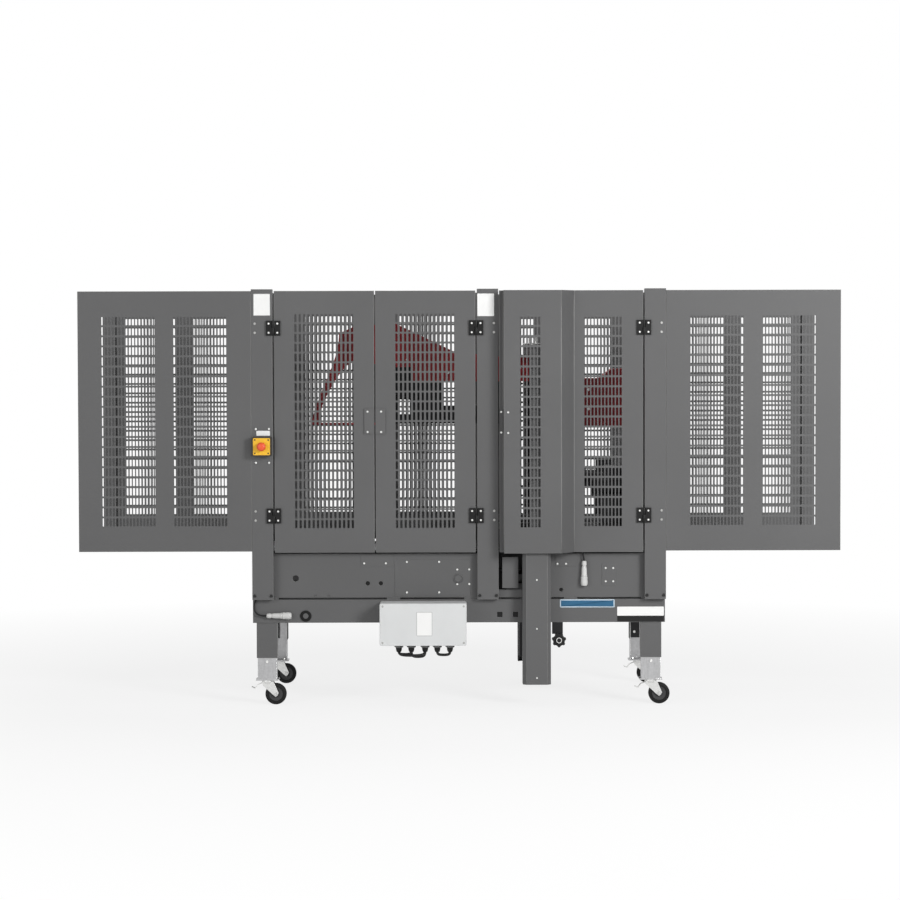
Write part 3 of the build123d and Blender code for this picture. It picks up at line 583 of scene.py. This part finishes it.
bm = bmesh.new()
for side in (-1, 1):
    joined(bm, turned([(-0.001, 0), (-0.001, 0.012), (0.002, 0.013), (0.002, 0.018), (0.0055, 0.0195),
                       (0.0055, 0.0235), (0.004, 0.0255), (-0.001, 0.0255)], (-0.697, side * 0.430, 0.404),
                      (0, side, 0)))
    joined(bm, turned([(0.0035, 0), (0.0035, 0.015), (0.0015, 0.0165), (0.0015, 0.018), (0.004, 0.0195),
                       (0.003, 0.022), (-0.001, 0.022)], (-0.007, side * panel_face, 0.572), (0, side, 0)), 1)
for x in (-0.416, -0.357):
    joined(bm, turned([(-0.0047, 0), (-0.0047, 0.0120), (-0.0032, 0.0120), (-0.0032, 0.0092),
                       (-0.0012, 0.0092), (-0.0012, 0.0040), (-0.0020, 0.0035), (-0.0020, 0)],
                      (x, -0.425, 0.551), (0, -1, 0), 24))
# Black squares in two square holes of the beam: painted shade for the dark inside of the holes.
for x in (0.181, 0.252):
    for half, y0, y1 in ((0.0116, -0.4288, -0.4258), (0.0160, -0.4258, -0.4240)):
        plug = bmesh.ops.create_cube(bm, size=1)["verts"]
        bmesh.ops.scale(bm, verts=plug, vec=(half * 2, y1 - y0, half * 2))
        bmesh.ops.translate(bm, verts=plug, vec=(x, (y0 + y1) / 2, 0.409))
grommets = make_piece("beam_grommets_plugs_and_hole_shade", bm, hinge_black, guard_grey)
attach(grommets, "frame")

# Rollers and lower tape head of the bed
# Zinc plated tube rollers with pressed end caps on hexagonal shafts, and the black housing
# of the lower tape head on the middle line between them.
roller_steel = bright_steel("zinc_roller_tube", (0.60, 0.61, 0.62), 0.34, (160, 10, 160))
bm = bmesh.new()
for x in [-0.880 + 0.1 * i for i in range(6)] + [0.320 + 0.1 * i for i in range(6)]:
    joined(bm, turned([(-0.285, 0), (-0.285, 0.006), (-0.281, 0.006), (-0.281, 0.019), (-0.279, 0.021),
                       (-0.282, 0.023), (-0.280, 0.024), (0.280, 0.024), (0.282, 0.023), (0.279, 0.021),
                       (0.281, 0.019), (0.281, 0.006), (0.285, 0.006), (0.285, 0)], (x, 0, 0.671), (0, 1, 0), 28))
rollers = make_piece("bed_roller_tubes", bm, roller_steel)
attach(rollers, "frame")
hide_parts("bed_rollers")
head_black = powder_coat("black_satin_paint", (0.010, 0.010, 0.011), 0.42, 0.1, 0.08)
head_black.node_tree.nodes["Principled BSDF"].inputs["Specular IOR Level"].default_value = 0.25
# Lighter black on rounded edges of black parts: partly worn paint, partly a painted highlight along the edges.
wear_and_highlight_black = powder_coat("wear_and_highlight_black_edges", (0.05, 0.05, 0.05), 0.38, 0.3, 0.05)
lower = make_piece("lower_tape_head_housing", softened("lower_tape_head", 0.003), head_black, wear_and_highlight_black)
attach(lower, "frame")
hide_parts("lower_tape_head")

# Legs
# Painted outer channels welded under the beams and zinc plated inner channels that slide
# in them to set the height, clamped by one bolt each, with a foot plate for the caster.
leg_zinc = bright_steel("zinc_leg_channel", (0.40, 0.40, 0.405), 0.40, (130, 130, 3), 0.12)
# Lighter zinc on the rounded bends of channels and forks: a painted highlight along the folds.
zinc_bend_highlight = bright_steel("zinc_bend_shine", (0.62, 0.62, 0.62), 0.30, (130, 130, 3), 0.10)
outer = make_piece("painted_leg_channels", softened("outer_legs", 0.0016), guard_grey, wear_and_highlight_grey)
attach(outer, "frame")
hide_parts("outer_legs")
inner = make_piece("zinc_leg_channels", softened("inner_legs", 0.0014), leg_zinc, zinc_bend_highlight)
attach(inner, "frame")
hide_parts("inner_legs")
leg_centres = (-0.873, 0.865)
leg_face = 0.4225
clamp_bolts = [((x, side * leg_face, 0.196), (0, side, 0)) for side in (-1, 1) for x in leg_centres]
clamp_bolts += [((x - 0.0205, side * 0.4110, z), (0, -side, 0)) for side in (-1, 1) for x in leg_centres
                for z in (0.243, 0.322)]
bolts = make_piece("leg_clamp_bolts", screw_heads(clamp_bolts, 0.0065, 0.0045, 0.4), screw_steel)
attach(bolts, "frame")
# Black plates with two bolts inside the channels; their black is partly the plates' own paint, partly painted shade
# for the dark inside of the channels.
bm = bmesh.new()
for x in leg_centres:
    for side in (-1, 1):
        plate = bmesh.ops.create_cube(bm, size=1)["verts"]
        bmesh.ops.scale(bm, verts=plate, vec=(0.046, 0.006, 0.150))
        bmesh.ops.translate(bm, verts=plate, vec=(x - 0.0185, side * 0.4140, 0.290))
bmesh.ops.bevel(bm, geom=bm.edges[:], offset=0.0012, offset_type="OFFSET", segments=2, profile=0.5,
                affect="EDGES", material=1)
clamp_plates_and_shade = make_piece("leg_clamp_plates_and_channel_shade", bm, head_black, wear_and_highlight_black)
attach(clamp_plates_and_shade, "frame")

# Casters
# Pressed zinc forks that trail behind a ball race, with a bent brake pedal, and black
# rubber wheels on a grey core. Each is held to the foot plate by a king bolt.
caster_zinc = bright_steel("zinc_caster_pressing", (0.66, 0.66, 0.65), 0.32, (40, 40, 40), 0.1)
tyre_rubber = moulded("black_tyre_rubber", (0.007, 0.007, 0.007), 0.6, 500.0, 0.25, 0.12, 0.2)
wheel_core = moulded("grey_wheel_core", (0.040, 0.040, 0.041), 0.5, shine=0.3)
caster_y = 0.396
wheel_half = 0.016
for end, centre in (("infeed", leg_centres[0]), ("exit", leg_centres[1])):
    for place, side in (("front", -1), ("rear", 1)):
        y = side * caster_y
        bm = softened(f"caster_fork_{end}_{place}", 0.0012, 50)
        joined(bm, turned([(0, 0.013), (0, 0.024), (0.004, 0.0265), (0.0085, 0.0265), (0.0125, 0.022),
                           (0.0125, 0.013)], (centre, y, 0.0965), (0, 0, 1)))
        for way in (-1, 1):
            joined(bm, turned([(0, 0.0), (0, 0.0095), (0.0035, 0.0095), (0.005, 0.008), (0.005, 0.0045),
                               (0.008, 0.004), (0.008, 0)], (centre + 0.038, y + way * 0.021, 0.048),
                              (0, way, 0), 12, 20))
        fork = make_piece(f"caster_fork_pressing_{end}_{place}", bm, caster_zinc, zinc_bend_highlight)
        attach(fork, f"caster_{end}_{place}")
        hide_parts(f"caster_fork_{end}_{place}")
        half = wheel_half
        rim = [(-half + 0.0015, 0.032), (-half, 0.034), (-half, 0.043), (-half + 0.002, 0.0465),
               (-half + 0.005, 0.048), (half - 0.005, 0.048), (half - 0.002, 0.0465), (half, 0.043),
               (half, 0.034), (half - 0.0015, 0.032)]
        core = [(half - 0.0015, 0.032), (half - 0.004, 0.0315), (half - 0.005, 0.016), (half - 0.001, 0.014),
                (half - 0.001, 0.0065), (-half + 0.001, 0.0065), (-half + 0.001, 0.014),
                (-half + 0.005, 0.016), (-half + 0.004, 0.0315), (-half + 0.0015, 0.032)]
        hub = (centre + 0.038, y, 0.048)
        bm = turned(rim, hub, (0, 1, 0), 48)
        joined(bm, turned(core, hub, (0, 1, 0), 48), 1)
        bmesh.ops.remove_doubles(bm, verts=bm.verts, dist=1e-6)
        bmesh.ops.recalc_face_normals(bm, faces=bm.faces)
        wheel = make_piece(f"caster_tyre_{end}_{place}", bm, tyre_rubber, wheel_core)
        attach(wheel, f"wheel_{end}_{place}")
        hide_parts(f"caster_wheel_{end}_{place}")
foot_screws = [((x + across, side * (caster_y + along), 0.116), (0, 0, 1)) for side in (-1, 1)
               for x in leg_centres for across in (-0.030, 0.030) for along in (-0.006,)]
bolts = make_piece("caster_plate_bolts", screw_heads(foot_screws, 0.006, 0.0045, 0.4), screw_steel)
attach(bolts, "frame")

# Lift columns
# Tall lipped channels outside the beams, each with a threaded lift screw, a folded cover
# over its lower end held by three screws, and black stay plates under the side beam.
for node, width in (("lift_columns", 0.0016), ("column_covers", 0.0012)):
    piece = make_piece(f"{node}_painted", softened(node, width), guard_grey, wear_and_highlight_grey)
    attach(piece, "frame")
    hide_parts(node)
stays = make_piece("black_column_stays", softened("column_stays", 0.001), head_black, wear_and_highlight_black)
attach(stays, "frame")
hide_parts("column_stays")
thread_steel = bright_steel("threaded_screw_steel", (0.55, 0.55, 0.54), 0.3)
thread_place = shader_node(thread_steel, "TexCoord").outputs["Object"]
thread_wave = shader_node(thread_steel, "TexWave", {"Vector": thread_place, "Scale": 80.0},
                          wave_type="BANDS", bands_direction="Z", wave_profile="SIN")
thread_bump = shader_node(thread_steel, "Bump", {"Height": thread_wave.outputs["Fac"], "Strength": 0.8,
                                                 "Distance": 0.0015})
thread_steel.node_tree.links.new(thread_bump.outputs[0],
                                 thread_steel.node_tree.nodes["Principled BSDF"].inputs["Normal"])
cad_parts["lift_screws"].data.materials.clear()
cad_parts["lift_screws"].data.materials.append(thread_steel)
cover_screws = [((0.346, side * 0.515, z), (0, side, 0)) for side in (-1, 1) for z in (0.572, 0.352, 0.130)]
heads = make_piece("column_cover_screws", screw_heads(cover_screws, 0.0042, 0.0025), screw_steel)
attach(heads, "frame")

# Taping head
# A red painted arm folded from sheet, with a curved plow that closes the leading flap, the
# black upper tape head below it and soft squeeze rollers over the exit. It rides on a grey
# square tube between the two lift columns.
head_red = powder_coat("red_powder_coat", (0.34, 0.022, 0.028), 0.42, 0.08, 0.1)
# Lighter red on the rounded edges of the head: partly worn paint, partly a painted highlight along the edges.
wear_and_highlight_red = powder_coat("wear_and_highlight_red_edges", (0.42, 0.07, 0.07), 0.36, 0.2, 0.05)
for node, finish, worn, slot, width in (("head_beam", head_red, wear_and_highlight_red, "red_paint", 0.0014),
                                        ("flap_plow", head_red, wear_and_highlight_red, "red_paint", 0.0009),
                                        ("upper_tape_head", head_black, wear_and_highlight_black, "black_paint", 0.0009),
                                        ("head_cross_beam", guard_grey, wear_and_highlight_grey, "painted_sheet", 0.0015)):
    piece = make_piece(f"{node}_finished", softened(node, width), finish, worn)
    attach(piece, "head")
    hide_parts(node)
squeeze_rubber = moulded("black_squeeze_rubber", (0.03, 0.03, 0.03), 0.55, 500.0, 0.2)
bm = bmesh.new()
for x in (0.610, 0.680, 0.750):
    joined(bm, turned([(-0.072, 0), (-0.072, 0.006), (-0.060, 0.006), (-0.060, 0.017), (-0.057, 0.020),
                       (0.057, 0.020), (0.060, 0.017), (0.060, 0.006), (0.072, 0.006), (0.072, 0)],
                      (x, 0, 1.268), (0, 1, 0)))
rollers = make_piece("squeeze_roller_sleeves", bm, squeeze_rubber)
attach(rollers, "head")
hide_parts("squeeze_rollers")
head_screws = [((x, side * 0.075, z), (0, side, 0)) for side in (-1, 1)
               for x, z in ((-0.44, 1.66), (-0.40, 1.60), (-0.28, 1.68), (-0.24, 1.56), (-0.05, 1.50),
                            (0.10, 1.50), (0.28, 1.52), (0.40, 1.52), (0.60, 1.42), (0.76, 1.42),
                            (0.60, 1.33), (0.76, 1.33))]
heads = make_piece("head_beam_screws", screw_heads(head_screws, 0.007, 0.0045, 0.45), screw_steel)
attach(heads, "head")

# Side drive belts
# Two upright belts of ribbed black rubber run around pulleys in painted housings on each
# side of the case path, each driven by a black gearmotor with a finned case.
belt_rubber = moulded("ribbed_belt_rubber", (0.03, 0.03, 0.031), 0.62, 500.0, 0.2)
rib_place = shader_node(belt_rubber, "TexCoord").outputs["Object"]
rib_wave = shader_node(belt_rubber, "TexWave", {"Vector": rib_place, "Scale": 30.0},
                       wave_type="BANDS", bands_direction="X", wave_profile="SIN")
rib_bump = shader_node(belt_rubber, "Bump", {"Height": rib_wave.outputs["Fac"], "Strength": 0.5,
                                             "Distance": 0.002})
belt_rubber.node_tree.links.new(rib_bump.outputs[0],
                                belt_rubber.node_tree.nodes["Principled BSDF"].inputs["Normal"])
belts = make_piece("ribbed_drive_belts", softened("side_belts", 0.001), belt_rubber, squeeze_rubber)
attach(belts, "frame")
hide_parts("side_belts")
units = make_piece("belt_unit_housings", softened("side_belt_units", 0.0014), guard_grey, wear_and_highlight_grey)
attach(units, "frame")
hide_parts("side_belt_units")
bm = softened("side_belt_motors", 0.0025)
motor_x, motor_y, motor_z = 0.695, 0.347, 0.987
for side in (-1, 1):
    for i in range(12):
        fin_x = motor_x - 0.088 + 0.0105 * i
        joined(bm, turned([(-0.0015, 0.040), (-0.0015, 0.0465), (0.0015, 0.0465), (0.0015, 0.040)],
                          (fin_x, side * motor_y, motor_z), (1, 0, 0), 24))
    joined(bm, turned([(0.052, 0.043), (0.054, 0.048), (0.092, 0.048), (0.100, 0.043), (0.100, 0)],
                      (motor_x, side * motor_y, motor_z), (1, 0, 0), 28))
motors = make_piece("finned_gearmotors", bm, head_black, wear_and_highlight_black)
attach(motors, "frame")
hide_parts("side_belt_motors")

# Infeed guide rails
# Flat rails with flared ends on short posts, which lead the carton between the belts.
rails = make_piece("flared_guide_rails", softened("guide_rails", 0.001), guard_grey, wear_and_highlight_grey)
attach(rails, "frame")
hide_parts("guide_rails")

# Control box
# A light grey moulded enclosure with rounded corners on the front beam. Its lid is held by
# four corner screws, and black glands below it take short looped leads.
box_grey = moulded("light_grey_enclosure", (0.66, 0.67, 0.67), 0.4, 700.0, 0.08, 0.02)
seal_grey = moulded("grey_lid_seal", (0.10, 0.10, 0.10), 0.6)
box_left, box_right, box_low, box_high = -0.360, 0.030, 0.281, 0.471
lid_back, lid_front = -0.545, -0.560


def rounded_box(x0, x1, y0, y1, z0, z1, corner, edge):
    """A box with rounded upright corners towards the front and a fine round along its faces."""
    bm = bmesh.new()
    verts = bmesh.ops.create_cube(bm, size=1)["verts"]
    bmesh.ops.scale(bm, verts=verts, vec=(x1 - x0, y1 - y0, z1 - z0))
    bmesh.ops.translate(bm, verts=verts, vec=((x0 + x1) / 2, (y0 + y1) / 2, (z0 + z1) / 2))
    corners = [e for e in bm.edges if abs(e.verts[0].co.y - e.verts[1].co.y) > 1e-5]
    round_faces = set(bmesh.ops.bevel(bm, geom=corners, offset=corner, offset_type="OFFSET", segments=6,
                                      profile=0.5, affect="EDGES", material=-1)["faces"])
    rims = [e for e in bm.edges if abs(e.verts[0].co.y - e.verts[1].co.y) < 1e-6
            and any(abs(f.normal.y) > 0.9 for f in e.link_faces)]
    for face in bm.faces:
        face.smooth = face in round_faces
    made = bmesh.ops.bevel(bm, geom=rims, offset=edge, offset_type="OFFSET", segments=2, profile=0.5,
                           affect="EDGES", material=-1)["faces"]
    for face in made:
        face.smooth = True
    return bm


bm = rounded_box(box_left, box_right, lid_back, -0.430, box_low, box_high, 0.008, 0.001)
joined(bm, rounded_box(box_left + 0.002, box_right - 0.002, lid_back - 0.001, lid_back, box_low + 0.002,
                       box_high - 0.002, 0.007, 0.0002), 1)
body = make_piece("enclosure_body", bm, box_grey, seal_grey)
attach(body, "frame")
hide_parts("control_box")
bm = rounded_box(box_left, box_right, lid_front, lid_back - 0.001, box_low, box_high, 0.008, 0.002)
front_face = min(bm.faces, key=lambda f: f.calc_center_median().y)
bmesh.ops.inset_individual(bm, faces=[front_face], thickness=0.0028)
bmesh.ops.inset_individual(bm, faces=[front_face], thickness=0.0010, depth=-0.0006)
lid = make_piece("enclosure_lid", bm, box_grey)
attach(lid, "frame")
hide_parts("control_box_lid")
lid_screws = [((x, lid_front + 0.0006, z), (0, -1, 0)) for x in (box_left + 0.013, box_right - 0.013)
              for z in (box_low + 0.013, box_high - 0.013)]
heads = make_piece("enclosure_lid_screws", screw_heads(lid_screws, 0.0050, 0.0006, 0.5), dull_steel)
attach(heads, "frame")
gland_grey = moulded("grey_gland_nylon", (0.16, 0.16, 0.16), 0.45)
gland_black = moulded("black_gland_nylon", (0.008, 0.008, 0.008), 0.45, shine=0.25)
bm = bmesh.new()
gland_y = -0.492
gland_x = (-0.275, -0.219, -0.157, -0.102, -0.045)
for x in gland_x:
    joined(bm, turned([(0, 0), (0, 0.021), (0.012, 0.021), (0.014, 0.018), (0.014, 0.010)],
                      (x, gland_y, box_low), (0, 0, -1), 6, 20))
    joined(bm, turned([(0.014, 0.010), (0.014, 0.0145), (0.026, 0.0130), (0.034, 0.0100), (0.034, 0)],
                      (x, gland_y, box_low), (0, 0, -1), 14, 50), 1)
glands = make_piece("gland_nuts", bm, gland_grey, gland_black)
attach(glands, "frame")
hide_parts("cable_glands")


def lead(name, points, radius, finish):
    """A round lead along a smooth line, made a mesh."""
    line = bpy.data.curves.new(name, "CURVE")
    line.dimensions = "3D"
    line.bevel_depth = radius
    line.bevel_resolution = 4
    line.use_fill_caps = True
    spline = line.splines.new("NURBS")
    spline.points.add(len(points) - 1)
    for point, place in zip(spline.points, points):
        point.co = (*place, 1)
    spline.order_u = 3
    spline.use_endpoint_u = True
    holder = bpy.data.objects.new(name + "_line", line)
    bpy.context.scene.collection.objects.link(holder)
    mesh = bpy.data.meshes.new_from_object(holder.evaluated_get(bpy.context.evaluated_depsgraph_get()))
    bpy.data.objects.remove(holder)
    mesh.name = name
    mesh.materials.clear()
    mesh.materials.append(finish)
    piece = bpy.data.objects.new(name, mesh)
    bpy.context.scene.collection.objects.link(piece)
    return piece


lead_black = moulded("black_lead_sheath", (0.008, 0.008, 0.008), 0.5, shine=0.25)
loop_low = box_low - 0.034
for i, (start, end, sag, out) in enumerate(((0, 1, 0.010, 0.010), (1, 2, 0.022, 0.0), (3, 4, 0.014, 0.0),
                                            (0, 2, 0.014, 0.024))):
    a, b = gland_x[start], gland_x[end]
    points = [(a, gland_y, loop_low + 0.004), (a, gland_y - out / 2, loop_low - sag * 0.55),
              (a + (b - a) * 0.2, gland_y - out, loop_low - sag), (a + (b - a) * 0.8, gland_y - out, loop_low - sag),
              (b, gland_y - out / 2, loop_low - sag * 0.55), (b, gland_y, loop_low + 0.004)]
    loop = lead(f"looped_lead_{i}", points, 0.0062, lead_black)
    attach(loop, "frame")

# Emergency stop
# A yellow faced box with a dark rim on the infeed post, screwed to a mounting plate, with
# a red mushroom button turned from one profile.
stop_x, stop_z = -0.888, 1.174
stop_yellow = moulded("yellow_stop_face", (0.86, 0.50, 0.03), 0.42, 900.0, 0.06, 0.03)
# The dark base around the yellow face is partly the box's own dark moulding, partly painted shade for the shadow
# line around the face.
stop_dark_base_and_shade = moulded("dark_stop_base_and_rim_shade", (0.035, 0.028, 0.02), 0.45)
stop_red = moulded("red_stop_button", (0.78, 0.10, 0.035), 0.32, 900.0, 0.04, 0.04)
bm = softened("stop_box", 0.0016, 30)
for face in bm.faces:
    face.material_index = 0
yellow = bmesh.ops.create_cube(bm, size=1)["verts"]
bmesh.ops.scale(bm, verts=yellow, vec=(0.076, 0.004, 0.076))
bmesh.ops.translate(bm, verts=yellow, vec=(stop_x, -0.511, stop_z))
corners = [e for v in yellow for e in v.link_edges if abs(e.verts[0].co.y - e.verts[1].co.y) > 0.001]
bmesh.ops.bevel(bm, geom=list(set(corners)), offset=0.005, offset_type="OFFSET", segments=4, profile=0.5,
                affect="EDGES", material=-1)
for face in bm.faces:
    if face.calc_center_median().y < -0.5105:
        face.material_index = 1
stop = make_piece("stop_box_with_yellow_face", bm, stop_dark_base_and_shade, stop_yellow)
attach(stop, "frame")
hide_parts("stop_box")
corner_screws = [((stop_x + a, -0.513, stop_z + b), (0, -1, 0)) for a in (-0.030, 0.030) for b in (-0.030, 0.030)]
heads = make_piece("stop_face_screws", screw_heads(corner_screws, 0.0038, 0.0008, 0.5), stop_dark_base_and_shade)
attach(heads, "frame")
bm = turned([(-0.030, 0), (-0.030, 0.0100), (0.013, 0.0100), (0.013, 0.0150), (0.0145, 0.0185), (0.018, 0.0200),
             (0.023, 0.0198), (0.028, 0.0180), (0.0315, 0.0145), (0.0335, 0.0090), (0.034, 0)],
            (stop_x, -0.510, stop_z), (0, -1, 0), 40, 50)
button = make_piece("mushroom_button", bm, stop_red)
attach(button, "button")
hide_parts("stop_button")
plate_screws = [((stop_x + a, -0.467, z), (0, -1, 0)) for a in (-0.028, 0.031) for z in (1.100, 1.252)]
heads = make_piece("stop_plate_screws", screw_heads(plate_screws, 0.0052, 0.003), screw_steel)
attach(heads, "frame")

# Cable plugs
# Two pale grey moulded plugs with knurled rings, one lying on the side beam and one
# standing on the bed panel, each on a short black lead from behind the guard.
plug_grey = moulded("pale_grey_plug", (0.60, 0.60, 0.59), 0.4, 700.0, 0.06, 0.04)
plug_profile = [(0, 0), (0, 0.0075), (0.004, 0.0105), (0.016, 0.0115), (0.020, 0.0105), (0.022, 0.0080),
                (0.025, 0.0100), (0.034, 0.0120), (0.062, 0.0125), (0.066, 0.0145), (0.070, 0.0120),
                (0.073, 0.0155), (0.079, 0.0158), (0.084, 0.0145), (0.088, 0.0158), (0.096, 0.0158),
                (0.106, 0.0152), (0.112, 0.0120), (0.112, 0)]
bm = turned(plug_profile, (-0.873, -0.446, 0.407), (1, 0, 0), 28, 40)
joined(bm, turned(plug_profile, (0.562, -0.441, 0.652), (0, 0, -1), 28, 40))
plugs = make_piece("moulded_plugs", bm, plug_grey)
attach(plugs, "frame")
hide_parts("cable_plugs")
lying = lead("lying_plug_lead", [(-0.921, -0.440, 0.482), (-0.930, -0.441, 0.462), (-0.931, -0.443, 0.436),
                                 (-0.918, -0.445, 0.414), (-0.895, -0.446, 0.406), (-0.868, -0.446, 0.407)],
             0.0038, lead_black)
standing = lead("standing_plug_lead", [(0.553, -0.439, 0.702), (0.556, -0.440, 0.682), (0.561, -0.441, 0.664),
                                       (0.562, -0.441, 0.646)], 0.0038, lead_black)
for piece in (lying, standing):
    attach(piece, "frame")

# Hand knob
# A black lobed knob with a bright ring around its shaft, on a black bracket under the beam.
bracket = make_piece("knob_hanger", softened("knob_bracket", 0.001), head_black, wear_and_highlight_black)
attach(bracket, "frame")
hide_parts("knob_bracket")
bm = softened("hand_knob", 0.0014, 40)
joined(bm, turned([(0.0255, 0.0095), (0.0268, 0.0100), (0.0268, 0.0125), (0.0255, 0.0130)],
                  (0.448, -0.430, 0.293), (0, -1, 0), 24), 2)
knob = make_piece("lobed_knob", bm, gland_black, rub_and_highlight_black, screw_steel)
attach(knob, "knob")
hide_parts("hand_knob")

# Plain plates
# Blank plates and strips where such a machine carries its notices: white ones on the posts
# and the enclosure, a blue strip and a pale plate on the side beam.
plate_white = moulded("white_plate_film", (0.86, 0.86, 0.85), 0.35, 300.0, 0.03, 0.02)
plate_band = moulded("grey_plate_band", (0.42, 0.42, 0.42), 0.35, 300.0, 0.03, 0.03)
strip_blue = moulded("blue_strip_film", (0.020, 0.110, 0.215), 0.35, 300.0, 0.03, 0.05)
strip_rim = moulded("pale_strip_rim", (0.52, 0.62, 0.70), 0.35, 300.0, 0.03, 0.03)
for name, (x0, x1, z0, z1), y, rim, outer_finish, inner_finish in (
        ("infeed_post_plate", (-0.925, -0.849, 1.761, 1.860), -0.465, 0.0022, plate_band, plate_white),
        ("centre_post_plate", (0.082, 0.157, 1.757, 1.858), -0.465, 0.0022, plate_white, plate_white),
        ("enclosure_plate", (-0.195, -0.124, 0.325, 0.433), -0.5592, 0.0022, plate_band, plate_white),
        ("stop_plate_strip", (-0.914, -0.853, 1.2215, 1.2435), -0.465, 0.0015, plate_white, plate_white),
        ("beam_strip", (0.453, 0.700, 0.440, 0.4765), -0.430, 0.005, strip_rim, strip_blue),
        ("beam_plate", (0.712, 0.923, 0.4020, 0.443), -0.430, 0.003, plate_white, plate_white),
        ("beam_plate_foot", (0.712, 0.923, 0.3750, 0.4015), -0.430, 0.002, gland_black, gland_black)):
    bm = bmesh.new()
    film = bmesh.ops.create_cube(bm, size=1)["verts"]
    bmesh.ops.scale(bm, verts=film, vec=(x1 - x0, 0.0012, z1 - z0))
    bmesh.ops.translate(bm, verts=film, vec=((x0 + x1) / 2, y - 0.0001, (z0 + z1) / 2))
    corners = [e for e in bm.edges if abs(e.verts[0].co.y - e.verts[1].co.y) > 0.0005]
    bmesh.ops.bevel(bm, geom=corners, offset=0.003, offset_type="OFFSET", segments=3, profile=0.5,
                    affect="EDGES", material=-1)
    face = min(bm.faces, key=lambda f: f.calc_center_median().y)
    bmesh.ops.inset_individual(bm, faces=[face], thickness=rim)
    face.material_index = 1
    plate = make_piece(name, bm, outer_finish, inner_finish)
    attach(plate, "frame")
